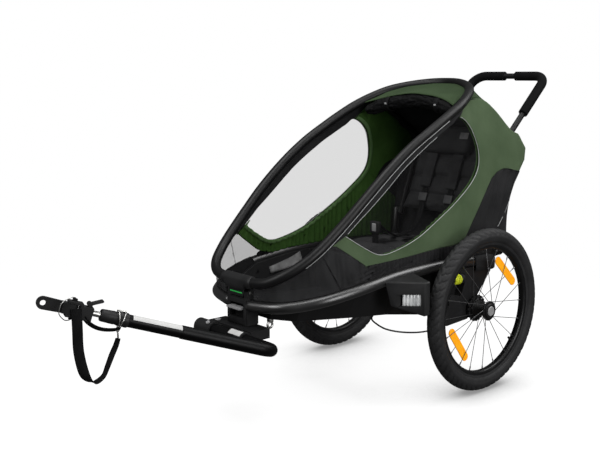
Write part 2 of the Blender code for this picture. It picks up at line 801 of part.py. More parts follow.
# Cabin
def tub_sections(inset, rim_rise, front, rear):
    sections = []
    for y, rim_half, rim_z, floor_half, floor_z in TUB:
        rim_half = rim_half or TUBE_SIDE_X - TUBE_FLAT - GAP
        y = min(max(y, front), rear)
        low, wide = floor_half - inset, rim_half - inset
        top = rim_z + rim_rise
        bottom = floor_z + inset
        corners = ((-wide, top), (-low, bottom), (low, bottom), (wide, top))
        sections.append([Vector((x, y, z)) for x, z in corners])
    return sections


def build_tub():
    """A moulded floor with a foot well in front and a hollow bench, open underneath, behind."""
    tub = add_part("floor_tub", loft(tub_sections(0, 0, TUB[0][0], TUB[-1][0])), "chassis", TUB_BLACK)
    well_rear = BENCH_FRONT_Y - TUB_WALL
    well = tub_sections(TUB_WALL, TUBE_RADIUS, TUB[0][0] + TUB_WALL, well_rear)[:4]
    well.append([Vector((point.x, well_rear, point.z)) for point in well[-1]])
    under = []
    for y, row in ((BENCH_FRONT_Y, TUB[4]), (TUB[5][0], TUB[5]), (TUB[6][0] - TUB_WALL, TUB[6])):
        low = row[3] - 2 * TUB_WALL
        wide = (row[1] or TUBE_SIDE_X - TUBE_RADIUS) - 3 * TUB_WALL
        top = bench_height() - BENCH_WALL
        bottom = min(row[4], TUB[5][4]) - TUB_WALL
        corners = ((-wide, top), (-low, bottom), (low, bottom), (wide, top))
        under.append([Vector((x, y, z)) for x, z in corners])
    combine(tub, "DIFFERENCE", [loft(well), loft(under)], "chassis")


def bench_height():
    return TUB[-1][2]


def build_seat():
    cushion = pad(CUSHION_HALF_WIDTH, CUSHION_REAR_Y - CUSHION_FRONT_Y, CUSHION_THICKNESS)
    top = max(row[2] for row in TUB)
    bmesh.ops.translate(cushion, vec=(0, CUSHION_FRONT_Y, top + GAP), verts=cushion.verts)
    add_part("seat_cushion", cushion, "chassis", SEAT_BLACK)
    rise = (Vector((0, *STRUT_TOP)) - Vector((0, *REAR_PIVOT))).normalized()
    forward = Vector((0, -rise.z, rise.y))
    x = POST_X - POST_RADIUS - STRUT_RADIUS - RUNNING_GAP
    foot = Vector((x, *REAR_PIVOT)) - rise * STRUT_RADIUS
    corner = Vector((x, *STRUT_TOP))
    right = [Vector((-point.x, point.y, point.z)) for point in (corner, foot)]
    struts = tube(rounded_path((foot, corner, *right), STRUT_BEND), STRUT_RADIUS, 10)
    add_part("rear_strut_frame", struts, "rear_frame", SATIN_BLACK)
    back = pad(BACK_HALF_WIDTH, BACK_LENGTH, BACK_THICKNESS)
    start = Vector((0, *REAR_PIVOT)) + forward * (STRUT_RADIUS + GAP)
    add_part("seat_back", oriented(back, start, Vector((-1, 0, 0)), rise, forward), "rear_frame", SEAT_BLACK)


# Fabric
def behind_hoop(y, z):
    """Distance of a point of the side behind the hoop's line."""
    point = Vector((y, z))
    line = [Vector((p[1], p[2])) for p in (*HOOP_SIDE, HOOP_ARCH[0])]
    reach = []
    for first, second in zip(line, line[1:]):
        span = second - first
        share = min(max((point - first).dot(span) / span.length_squared, 0), 1)
        reach.append((point - first - span * share).length)
    return min(reach)


def side_x(y, z):
    """How far out the fabric side stands: on the hoop in front, then spreading behind it."""
    hoop_x = hoop_at(y).x
    spread = 1 - math.exp(-behind_hoop(y, z) / SIDE_REACH)
    return hoop_x + FABRIC + max(SIDE_X - hoop_x, 0) * spread


def side_outline():
    """The fabric side in the YZ plane: the hoop, the roof, the rear edge and the lower tube's top."""
    offset = HOOP_RADIUS + 2 * FABRIC
    front = []
    line = [Vector((p[1], p[2])) for p in (*HOOP_SIDE, HOOP_ARCH[0])]
    for before, point, after in zip(line, line[1:], line[2:]):
        run = (after - before).normalized()
        front.append((point.x + offset * run.y, point.y - offset * run.x))
    roof = [row[:2] for row in ROOF]
    foot = [(y, tube_height(y) + TUBE_RADIUS + FABRIC) for y in SIDE_FOOT]
    return [*front, SIDE_TOP, *roof, *REAR_CORNER, *REAR[1:], *foot]


def ray_hit(outline, centre, angle):
    """Where a ray from the centre leaves a closed outline."""
    ray = Vector((math.cos(angle), math.sin(angle)))
    for first, second in zip(outline, outline[1:] + outline[:1]):
        first, second = Vector(first) - centre, Vector(second) - centre
        span = second - first
        determinant = ray.x * span.y - ray.y * span.x
        if abs(determinant) < 1e-12:
            continue
        along = (first.x * span.y - first.y * span.x) / determinant
        share = (first.x * ray.y - first.y * ray.x) / determinant
        if along > 0 and -1e-6 <= share <= 1 + 1e-6:
            return centre + ray * along
    return centre


def window_outline():
    rounded = smooth_curve([(0, *point) for point in WINDOW], 4)
    return [(point.y, point.z) for point in rounded]


def side_ring(points, inward):
    return [Vector((side_x(*point) - inward, *point)) for point in points]


def build_sides():
    """Each side is a fabric frame round its window, and the window a thin film inside it."""
    outline = [Vector(point) for point in side_outline()]
    window = window_outline()
    middle = sum((Vector(point) for point in window), Vector((0, 0))) / len(window)
    angles = sorted(math.atan2(p.y - middle.y, p.x - middle.x) for p in outline)
    outer = [ray_hit([tuple(p) for p in outline], middle, angle) for angle in angles]
    edge = [ray_hit(window, middle, angle) for angle in angles]
    film = [middle + (point - middle) * (1 - GAP / (point - middle).length) for point in edge]
    for hand, sign in HANDS:
        side = bmesh.new()
        rings = [
            [side.verts.new(point) for point in side_ring(points, inward)]
            for points, inward in ((outer, 0), (edge, 0), (edge, FABRIC), (outer, FABRIC))
        ]
        join_rings(side, [*rings, rings[0]])
        add_part("canopy_" + hand, side, "upper_frame", GREEN_FABRIC, sign)
        pane = bmesh.new()
        layers = []
        for inward in (FABRIC * 0.25, FABRIC * 0.75):
            hub = pane.verts.new((side_x(*middle) - inward, *middle))
            ring = [pane.verts.new(point) for point in side_ring(film, inward)]
            for first, second in zip(ring, ring[1:] + ring[:1]):
                pane.faces.new((hub, first, second))
            layers.append(ring)
        join_rings(pane, layers)
        add_part("window_" + hand, pane, "upper_frame", WINDOW_FILM, sign)


def crowned_row(y, z, half, back=0.0, up=0.0):
    """Points across the trailer whose middle stands further back and up than the edges."""
    row = []
    for column in range(PANEL_COLUMNS + 1):
        u = 2 * column / PANEL_COLUMNS - 1
        row.append(Vector((half * u, y + back * (1 - u * u), z + up * (1 - u * u))))
    return row


def arch_row(offset):
    """Points along the hoop's top arch, moved away from its middle or, if negative, towards it."""
    middle = Vector(ARCH_CENTRE)
    arch = [Vector(point) for point in reversed(HOOP_ARCH)]
    row = []
    for column in range(PANEL_COLUMNS + 1):
        x = HOOP_ARCH[0][0] * (2 * column / PANEL_COLUMNS - 1)
        for inner, outer in zip(arch, arch[1:]):
            if inner.x <= abs(x) <= outer.x:
                point = inner.lerp(outer, (abs(x) - inner.x) / (outer.x - inner.x))
        point = Vector((x, point.y, point.z))
        row.append(point + (point - middle).normalized() * offset)
    return row


def panel_normals(grid):
    """One outward direction for each row, from the run of its middle points."""
    line = [row[len(row) // 2] for row in grid]
    normals = []
    for index in range(len(line)):
        run = line[min(index + 1, len(line) - 1)] - line[max(index - 1, 0)]
        normals.append(Vector((0, -run.z, run.y)).normalized())
    return normals


def add_panel(name, grid):
    add_part(name, thin_sheet(grid, panel_normals(grid)), "upper_frame", GREEN_FABRIC)


def build_roof_and_rear():
    """Visor, roof and rear; the roof ends in a tongue between the handle's arms."""
    inner = FABRIC + GAP
    offset = HOOP_RADIUS + 2 * FABRIC
    (edge_y, edge_z), (middle_y, middle_z) = VISOR_EDGE
    visor_front = crowned_row(edge_y, edge_z, VISOR_HALF_WIDTH, middle_y - edge_y, middle_z - edge_z)
    visor_rear = arch_row(-HOOP_RADIUS - GAP)
    visor_middle = [front.lerp(rear, 0.5) for front, rear in zip(visor_front, visor_rear)]
    add_panel("roof_visor", [visor_front, visor_middle, visor_rear])
    roof = [arch_row(offset)]
    roof += [crowned_row(y, z, side_x(y, z) - inner, back, up) for y, z, back, up in ROOF]
    roof += [crowned_row(y, z, TONGUE_HALF_WIDTH) for y, z in ROOF_TONGUE]
    add_panel("roof_panel", roof)
    add_panel("rear_panel", [crowned_row(y, z, side_x(y, z) - inner) for y, z in REAR])
    build_rolled_cover(visor_front)


def build_rolled_cover(visor_front):
    """The rain cover, rolled up and strapped under the visor's front edge."""
    drop = Vector((0, COVER_RADIUS / 2, -COVER_RADIUS - FABRIC / 2))
    path = [point + drop for point in visor_front if abs(point.x) <= COVER_HALF_LENGTH]
    radii = [COVER_RADIUS * (1 - 0.15 * (point.x / COVER_HALF_LENGTH) ** 4) for point in path]
    add_part("rolled_cover", tube(path, radii, 12), "upper_frame", COVER_BLACK)


# Wheels and suspension
def build_wheel(hand, sign):
    body = "wheel_" + hand
    centre = Vector((WHEEL_X, 0, AXLE_Z))
    axis = (1, 0, 0)
    minor = TYRE_SECTION / 2
    section = [
        (minor * math.cos(turn), TYRE_MAJOR + minor * math.sin(turn))
        for turn in (2 * math.pi * (step + 0.5) / 10 + math.pi / 2 - math.pi / 10 for step in range(10))
    ]
    add_part("tyre_" + hand, turned(section, centre, axis, WHEEL_SEGMENTS), body, RUBBER, sign)
    half = RIM_WIDTH / 2
    bed = 0.8 * half
    rim = [
        (-bed, RIM_INNER),
        (bed, RIM_INNER),
        (half, RIM_OUTER - 0.2 * RIM_WALL),
        (bed, RIM_OUTER),
        (-bed, RIM_OUTER),
        (-half, RIM_OUTER - 0.2 * RIM_WALL),
    ]
    add_part("rim_" + hand, turned(rim, centre, axis, WHEEL_SEGMENTS), body, RIM_BLACK, sign)
    build_hub(hand, sign, centre, axis, body)
    ring_x = FLANGE_INNER_X - FLANGE_WALL / 2 - GAP - BRAKE_RING_WIDTH
    teeth = []
    for step in range(2 * BRAKE_TEETH):
        radius = BRAKE_RING_RADIUS - (BRAKE_TOOTH if step % 2 else 0)
        turn = math.pi * step / BRAKE_TEETH
        teeth.append((radius * math.cos(turn), AXLE_Z + radius * math.sin(turn)))
    low = WHEEL_X + ring_x
    ring = prism(teeth, "X", low, low + BRAKE_RING_WIDTH)
    brake = add_part("brake_ring_" + hand, ring, body, BRAKE_BLACK, sign)
    bore = rod(centre + Vector((-0.08, 0, 0)), centre, HUB_BARREL + GAP, 24)
    combine(brake, "DIFFERENCE", [bore], body, sign)
    thickness, length, width = REFLECTOR_SIZE
    reach = (length - width) / 2
    for place, angle in REFLECTOR_ANGLES.items():
        outline = capsule_outline((-reach, REFLECTOR_RADIUS), (reach, REFLECTOR_RADIUS), width / 2)
        plate = prism(outline, "X", -thickness / 2, thickness / 2)
        turn = Matrix.Rotation(angle - math.pi / 2, 4, "X")
        bmesh.ops.transform(plate, matrix=Matrix.Translation(centre) @ turn, verts=plate.verts)
        add_part(f"wheel_reflector_{place}_{hand}", plate, body, AMBER, sign)


def build_hub(hand, sign, centre, axis, body):
    wall = FLANGE_WALL / 2
    recess = HUB_OUTER_END - CAP_THICKNESS - CAP_TRAVEL + (CAP_PROUD - HUB_OUTER_END) - RUNNING_GAP
    nose = CAP_RADIUS + GAP
    profile = [
        (HUB_INNER_END, HUB_BORE),
        (HUB_INNER_END, HUB_BARREL),
        (FLANGE_INNER_X - wall, HUB_BARREL),
        (FLANGE_INNER_X - wall, HUB_FLANGE),
        (FLANGE_INNER_X + wall, HUB_FLANGE),
        (FLANGE_INNER_X + wall, HUB_BARREL),
        (FLANGE_OUTER_X - wall, HUB_BARREL),
        (FLANGE_OUTER_X - wall, HUB_FLANGE),
        (FLANGE_OUTER_X + wall, HUB_FLANGE),
        (FLANGE_OUTER_X + wall, 1.5 * CAP_RADIUS),
        (HUB_OUTER_END, 1.5 * CAP_RADIUS),
        (HUB_OUTER_END, nose),
        (recess, nose),
        (recess, HUB_BORE),
    ]
    hub = add_part("hub_" + hand, turned(profile, centre, axis, 24), body, HUB_BLACK, sign)
    spokes = bmesh.new()
    pitch = 2 * math.pi / SPOKES_PER_FLANGE
    for flange, lean, phase in ((FLANGE_INNER_X, SPOKE_LEAN, 0.0), (FLANGE_OUTER_X, -SPOKE_LEAN, pitch / 2)):
        for index in range(SPOKES_PER_FLANGE):
            turn = pitch * index + phase
            root_turn = turn + lean
            root = 0.85 * HUB_FLANGE
            tip = RIM_INNER - GAP - SPOKE_RADIUS / 2
            ends = [
                centre + Vector((flange, root * math.cos(root_turn), root * math.sin(root_turn))),
                centre + Vector((0.05 * flange, tip * math.cos(turn), tip * math.sin(turn))),
            ]
            tube(ends, SPOKE_RADIUS, 4, shape=spokes)
    combine(hub, "UNION", [spokes], body, sign)
    cap_low = CAP_PROUD - CAP_THICKNESS
    stations = [(cap_low, 1), (CAP_PROUD - CAP_ROUNDING, 1), (CAP_PROUD, 1 - CAP_ROUNDING / CAP_RADIUS)]
    path = [centre + Vector((along, 0, 0)) for along, _ in stations]
    button = tube(path, [share * CAP_RADIUS for _, share in stations], 24)
    add_part("release_cap_" + hand, button, "cap_" + hand, CAP_SILVER, sign)


def bracket_outline():
    top = [(y, tube_height(y) - TUBE_RADIUS - GAP) for y in BRACKET_TOP_Y]
    return [*top, *BRACKET_FOOT]


def build_suspension(hand, sign):
    body = "suspension_" + hand
    bracket = add_part(
        "wheel_bracket_" + hand,
        prism(bracket_outline(), "X", BRACKET_X, BRACKET_X + BRACKET_WALL),
        "chassis",
        MATTE_BLACK,
        sign,
    )
    stop = box(
        (BRACKET_X + BRACKET_WALL / 2, STOP_FACE_Y - STOP_WALL, PRESS_Z - ELASTOMER_RADIUS),
        (ARM_INNER_X + ARM_WALL, STOP_FACE_Y, PRESS_Z + ELASTOMER_RADIUS),
    )
    combine(bracket, "UNION", [stop], "chassis", sign)
    outer_x = ARM_INNER_X + ARM_WALL
    lever = capsule_outline(ARM_PIVOT, (0, AXLE_Z), ARM_EYE_RADIUS)
    arm = add_part("trailing_arm_" + hand, prism(lever, "X", ARM_INNER_X, outer_x), body, MATTE_BLACK, sign)
    belly_outline = (*ARM_BELLY, (ARM_PIVOT[0] - ARM_EYE_RADIUS / 2, ARM_PIVOT[1]), (0, AXLE_Z))
    belly = prism(belly_outline, "X", ARM_INNER_X, outer_x)
    rear = PRESS_FACE_Y + CRANK_DEPTH
    crank_outline = (
        (PRESS_FACE_Y, PRESS_Z + ELASTOMER_RADIUS),
        (PRESS_FACE_Y, PRESS_Z - ELASTOMER_RADIUS),
        ((ARM_PIVOT[0] + PRESS_FACE_Y) / 2, ARM_PIVOT[1] - ARM_EYE_RADIUS / 2),
        (rear, AXLE_Z + ARM_EYE_RADIUS / 2),
        (rear, PRESS_Z),
    )
    crank = prism(crank_outline, "X", ARM_INNER_X, outer_x)
    axle = rod(
        (outer_x - ARM_WALL / 2, 0, AXLE_Z),
        (WHEEL_X + FLANGE_OUTER_X - 2 * FLANGE_WALL, 0, AXLE_Z),
        HUB_BORE - RUNNING_GAP,
    )
    combine(arm, "UNION", [belly, crank, axle], body, sign)
    low = STOP_FACE_Y + GAP
    pitch = (PRESS_FACE_Y - GAP - low) / (2 * ELASTOMER_RIBS)
    x = ARM_INNER_X + ELASTOMER_RADIUS
    steps = range(2 * ELASTOMER_RIBS + 1)
    radii = [ELASTOMER_RADIUS * (ELASTOMER_WAIST if step % 2 else 1) for step in steps]
    path = [(x, low + pitch * step, PRESS_Z) for step in steps]
    add_part("elastomer_" + hand, tube(path, radii, 12), "chassis", LIME, sign)


def build_fender(hand, sign):
    low, high = FENDER_OUTER_Z
    bottom = (
        (FENDER_INNER_X, FENDER_FRONT_INNER_Y + FENDER_RAKE, FENDER_INNER_BOTTOM_Z),
        (FENDER_OUTER_X, FENDER_FRONT_OUTER_Y, low),
        (FENDER_OUTER_X, FENDER_REAR_Y, low),
        (FENDER_INNER_X, FENDER_REAR_Y, FENDER_INNER_BOTTOM_Z),
    )
    top = (
        (FENDER_INNER_X, FENDER_FRONT_INNER_Y, tube_height(FENDER_FRONT_INNER_Y) + FENDER_LIFT),
        (FENDER_OUTER_X, FENDER_FRONT_OUTER_Y, high),
        (FENDER_OUTER_X, FENDER_REAR_Y, high),
        (FENDER_INNER_X, FENDER_REAR_Y, tube_height(FENDER_REAR_Y) + FENDER_LIFT),
    )
    shape = loft([bottom, top])
    bmesh.ops.bevel(shape, geom=shape.edges[:], offset=0.003, segments=1, affect="EDGES")
    fender = add_part("fender_" + hand, shape, "chassis", MATTE_BLACK, sign)
    width, depth, height = FRONT_REFLECTOR_SIZE
    x, z = FRONT_REFLECTOR_CENTRE
    pocket = box(
        (x - width / 2 - GAP, FENDER_FRONT_INNER_Y - 0.01, z - height / 2 - GAP),
        (x + width / 2 + GAP, REFLECTOR_SEAT_Y, z + height / 2 + GAP),
    )
    combine(fender, "DIFFERENCE", [pocket], "chassis", sign)
    lens = box(
        (x - width / 2, REFLECTOR_SEAT_Y - GAP - depth, z - height / 2),
        (x + width / 2, REFLECTOR_SEAT_Y - GAP, z + height / 2),
        0.001,
    )
    add_part("front_reflector_" + hand, lens, "chassis", CLEAR_LENS, sign)


def build_brake(hand, sign):
    cable = tube([*smooth_curve(CABLE[:-1], 3), CABLE[-1]], CABLE_RADIUS, 8)
    add_part("brake_cable_" + hand, cable, "chassis", CABLE_BLACK, sign)


def build_brake_pedal():
    """A foot pedal whose barrel turns on the rear cross tube."""
    y, z = LOWER_TUBE[-1][1:]
    outer = TUBE_RADIUS + RUNNING_GAP + PEDAL_WALL
    barrel = tube(
        [(-PEDAL_HALF_WIDTH, y, z), (PEDAL_HALF_WIDTH, y, z)], outer, 16, TUBE_RADIUS + RUNNING_GAP
    )
    pedal = add_part("brake_pedal", barrel, "brake_pedal", MATTE_BLACK)
    start = outer - PEDAL_WALL / 2
    plate = box(
        (-PEDAL_HALF_WIDTH, start, -PEDAL_PLATE / 2), (PEDAL_HALF_WIDTH, PEDAL_REACH, PEDAL_PLATE / 2)
    )
    slope = Matrix.Rotation(PEDAL_SLOPE, 4, "X")
    bmesh.ops.transform(plate, matrix=Matrix.Translation((0, y, z)) @ slope, verts=plate.verts)
    combine(pedal, "UNION", [plate], "brake_pedal")


# Tow arm and hitch
def build_receiver():
    """A base under the front block with a closed knuckle and an open saddle for the arm's short leg."""
    y, z = ARM_AXIS
    knuckle = rod((KNUCKLE_OUTER_X, y, z), (KNUCKLE_INNER_X, y, z), KNUCKLE_RADIUS, 20)
    receiver = add_part("arm_receiver", knuckle, "chassis", MATTE_BLACK)
    front = y + ARM_TUBE_RADIUS + 2 * RUNNING_GAP
    base = box((BASE_X[0], front, BASE_BOTTOM_Z), (BASE_X[1], BLOCK_REAR_Y, BLOCK_BOTTOM_Z - GAP))
    web = box(
        (KNUCKLE_OUTER_X + 0.01, y, BASE_BOTTOM_Z),
        (BASE_X[0] + 0.02, BLOCK_REAR_Y, BLOCK_BOTTOM_Z - 0.005),
    )
    saddle = rod((SADDLE_X[0], y, z), (SADDLE_X[1], y, z), SADDLE_RADIUS, 20)
    combine(receiver, "UNION", [web, base, saddle], "chassis")
    bore = ARM_TUBE_RADIUS + RUNNING_GAP
    bore_end = ARM_INNER_END_X - RUNNING_GAP
    combine(receiver, "DIFFERENCE", [rod((bore_end, y, z), (ARM_ELBOW_X, y, z), bore, 20)], "chassis")


def build_tow_arm():
    inner = (ARM_INNER_END_X, *ARM_AXIS)
    elbow = (ARM_ELBOW_X, *ARM_AXIS)
    path = rounded_path((inner, elbow, along_arm(FRONT_TUBE_END + GAP)), ARM_BEND, 8)
    add_part("tow_arm_tube", tube(path, ARM_TUBE_RADIUS, 12), "tow_arm", GLOSS_BLACK)
    front = rod(along_arm(SOCKET_END + GAP), along_arm(FRONT_TUBE_END), FRONT_TUBE_RADIUS)
    add_part("tow_arm_front_tube", front, "tow_arm", GLOSS_BLACK)
    middle = (SOCKET_START + SOCKET_END) / 2
    stations = [along_arm(back) for back in (SOCKET_START, middle, SOCKET_END)]
    radii = [SOCKET_RADII[0], sum(SOCKET_RADII) / 2, SOCKET_RADII[1]]
    add_part("hitch_socket", tube(stations, radii, 16), "tow_arm", MATTE_BLACK)
    share = (HOOK_STATION - SOCKET_START) / (SOCKET_END - SOCKET_START)
    socket_radius = SOCKET_RADII[0] + (SOCKET_RADII[1] - SOCKET_RADII[0]) * share
    hook_radius = socket_radius + WIRE_RADIUS + 2 * GAP
    loop = [(-WIRE_RADIUS - GAP, -HOOK_DROP)]
    loop += arc_points((0, 0), hook_radius + GAP, 200, -20, 12)
    loop += [(WIRE_RADIUS + GAP, -HOOK_DROP)]
    hook = [along_arm(HOOK_STATION, up - 0.0005, side) for side, up in loop]
    add_part("snap_hook", tube(smooth_curve(hook, 1), WIRE_RADIUS, 6), "tow_arm", STEEL)


def build_hitch():
    cheek_top = KNUCKLE_HALF + CHEEK
    fork = (
        (KNUCKLE_START, -cheek_top),
        (KNUCKLE_END, -cheek_top),
        (KNUCKLE_END, KNUCKLE_HALF),
        (KNUCKLE_FACE + CHEEK, KNUCKLE_HALF),
        (KNUCKLE_FACE + CHEEK, cheek_top),
        (KNUCKLE_START, cheek_top),
        (KNUCKLE_START, KNUCKLE_HALF),
        (KNUCKLE_FACE, KNUCKLE_HALF),
        (KNUCKLE_FACE, -KNUCKLE_HALF),
        (KNUCKLE_START, -KNUCKLE_HALF),
    )
    knuckle = on_arm(prism(fork, "Z", -CHEEK_HALF_WIDTH, CHEEK_HALF_WIDTH))
    part = add_part("hitch_knuckle", knuckle, "hitch_swivel", MATTE_BLACK)
    pin_bore = rod(along_arm(HITCH_PIN, -0.05), along_arm(HITCH_PIN, 0.05), PIN_RADIUS + GAP)
    combine(part, "DIFFERENCE", [pin_bore], "hitch_swivel")
    shaft = rod(along_arm(KNUCKLE_END + GAP), along_arm(SHAFT_END), SHAFT_RADIUS)
    add_part("hitch_shaft", shaft, "hitch_swivel", STEEL)
    foot = along_arm(HITCH_PIN, -cheek_top - PIN_HEAD)
    stem = rod(foot, along_arm(HITCH_PIN, PIN_TOP + PIN_HEAD / 2), PIN_RADIUS)
    pin = add_part("hitch_pin", stem, "hitch_swivel", BOLT_BLACK)
    head = rod(along_arm(HITCH_PIN, PIN_TOP), along_arm(HITCH_PIN, PIN_TOP + PIN_HEAD), PIN_HEAD_RADIUS, 6)
    combine(pin, "UNION", [head], "hitch_swivel")
    build_eye()
    build_keeper()
    build_wing_lever()


def build_eye():
    """The eye plate and the tail that turns on the hitch pin."""
    plate = arc_points((0, 0), EYE_RADIUS, 90, 270, 12) + [
        (TAIL_START + 0.004, -0.9 * EYE_RADIUS),
        (TAIL_START + 0.004, 0.9 * EYE_RADIUS),
    ]
    eye_plate = on_arm(prism(plate, "Z", -EYE_WALL / 2, EYE_WALL / 2))
    eye = add_part("hitch_eye", eye_plate, "hitch_eye", MATTE_BLACK)
    tail_outline = [(TAIL_START, TAIL_HALF_WIDTH)]
    tail_outline += arc_points((HITCH_PIN, 0), TAIL_HALF_WIDTH, 90, -90, 8)
    tail_outline += [(TAIL_START, -TAIL_HALF_WIDTH)]
    rise = KNUCKLE_HALF - GAP
    tail = on_arm(prism(tail_outline, "Y", -rise, rise))
    combine(eye, "UNION", [tail], "hitch_eye")
    hole = rod(along_arm(0, 0, -0.02), along_arm(0, 0, 0.02), EYE_HOLE_RADIUS)
    bore = rod(along_arm(HITCH_PIN, -0.05), along_arm(HITCH_PIN, 0.05), PIN_RADIUS + GAP)
    combine(eye, "DIFFERENCE", [hole, bore], "hitch_eye")


def build_keeper():
    """A wire bail from the pin's head round the side of the tail to the pin's foot."""
    foot = -PIN_TOP - PIN_HEAD - WIRE_RADIUS
    head = KEEPER_HEAD
    near = HITCH_PIN - KEEPER_REACH
    route = [
        along_arm(HITCH_PIN, head, 0),
        along_arm(HITCH_PIN - 0.4 * KEEPER_REACH, head, 0.5 * KEEPER_SIDE),
        along_arm(near + 0.003, 0.55 * head, 0.96 * KEEPER_SIDE),
        along_arm(near, 0, KEEPER_SIDE),
        along_arm(near + 0.003, 0.55 * foot, 0.96 * KEEPER_SIDE),
        along_arm(HITCH_PIN - 0.4 * KEEPER_REACH, foot, 0.5 * KEEPER_SIDE),
        along_arm(HITCH_PIN, foot, 0),
    ]
    add_part("keeper_ring", tube(smooth_curve(route, 4), WIRE_RADIUS, 6), "keeper_ring", STEEL)


def build_wing_lever():
    back, up = WING_AXIS
    barrel = rod(along_arm(back, up, -WING_HALF_WIDTH), along_arm(back, up, WING_HALF_WIDTH), WING_BARREL)
    lever = add_part("wing_lever", barrel, "wing_lever", MATTE_BLACK)
    blade_half = 0.8 * WING_HALF_WIDTH
    outline = capsule_outline(WING_AXIS, WING_TIP, WING_BARREL * 0.5, 4)
    blade = on_arm(prism(outline, "Z", -blade_half, blade_half))
    combine(lever, "UNION", [blade], "wing_lever")


def build_strap():
    """Flat webbing along its route, turned about the route as it hangs."""
    turns = [Vector((math.radians(angle), 0, 0)) for angle in STRAP_TWIST]
    path = smooth_curve(STRAP, 3)
    twist = [value.x for value in smooth_curve(turns, 3)]
    sections = []
    for index, (point, turn) in enumerate(zip(path, twist)):
        before = path[max(index - 1, 0)]
        after = path[min(index + 1, len(path) - 1)]
        run = (after - before).normalized()
        flat = Matrix.Rotation(turn, 3, "Z") @ Vector((BACK_ALONG.x, BACK_ALONG.y, 0)).normalized()
        flat = (flat - run * flat.dot(run)).normalized() * STRAP_WIDTH / 2
        thick = run.cross(flat).normalized() * STRAP_THICKNESS / 2
        left, right = point - flat, point + flat
        sections.append([left - thick, right - thick, right + thick, left + thick])
    add_part("safety_strap", loft(sections), "tow_arm", WEBBING)


clear_scene()
AXES = make_axes()
GLOSS_BLACK = make_material("gloss_black_paint", (0.012, 0.012, 0.013), 0.22)
SATIN_BLACK = make_material("satin_black_paint", (0.020, 0.020, 0.021), 0.42)
MATTE_BLACK = make_material("matte_black_plastic", (0.018, 0.018, 0.019), 0.55)
TUB_BLACK = make_material("tub_plastic", (0.014, 0.014, 0.015), 0.60)
PALE_GREY = make_material("pale_grey_plastic", (0.42, 0.42, 0.42), 0.45)
STEEL = make_material("zinc_steel", (0.62, 0.62, 0.60), 0.30, 1.0)
BOLT_BLACK = make_material("black_steel", (0.030, 0.030, 0.030), 0.40, 1.0)
FOAM = make_material("grip_foam", (0.012, 0.012, 0.012), 0.90)
GREEN_FABRIC = make_material("green_fabric", (0.105, 0.160, 0.088), 0.85)
WINDOW_FILM = make_material("window_mesh", (0.030, 0.030, 0.030), 0.60)
COVER_BLACK = make_material("cover_fabric", (0.014, 0.014, 0.014), 0.85)
SEAT_BLACK = make_material("seat_fabric", (0.015, 0.015, 0.016), 0.90)
RUBBER = make_material("tyre_rubber", (0.020, 0.020, 0.020), 0.70)
RIM_BLACK = make_material("rim_black", (0.018, 0.018, 0.018), 0.40)
HUB_BLACK = make_material("hub_black", (0.016, 0.016, 0.016), 0.45)
BRAKE_BLACK = make_material("brake_plastic", (0.014, 0.014, 0.014), 0.55)
CAP_SILVER = make_material("cap_silver", (0.60, 0.60, 0.60), 0.35, 0.8)
AMBER = make_material("amber_lens", (1.0, 0.38, 0.0), 0.30)
CLEAR_LENS = make_material("clear_lens", (0.65, 0.66, 0.66), 0.15)
LIME = make_material("lime_elastomer", (0.58, 0.66, 0.01), 0.55)
CABLE_BLACK = make_material("cable_sheath", (0.010, 0.010, 0.010), 0.35)
WEBBING = make_material("black_webbing", (0.014, 0.014, 0.014), 0.85)

build_lower_frame()
build_front_block()
build_receiver()
build_tub()
build_seat()
build_hoop()
build_hoop_clamp()
build_handlebar()
build_sides()
build_roof_and_rear()
for hand, sign in HANDS:
    build_wheel(hand, sign)
    build_suspension(hand, sign)
    build_fender(hand, sign)
    build_brake(hand, sign)
build_brake_pedal()
build_tow_arm()
build_hitch()
build_strap()
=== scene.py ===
"""Looks of a child bicycle trailer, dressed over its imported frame.

Lengths are metres. Points are written about the spot on the ground below the middle of the axle line,
and moved to the frame's origin by AXLE_Y. +X is the trailer's left, -Y its front and +Z up.
"""

import json
import math

import bmesh
import bpy
from mathutils import Matrix, Vector, noise

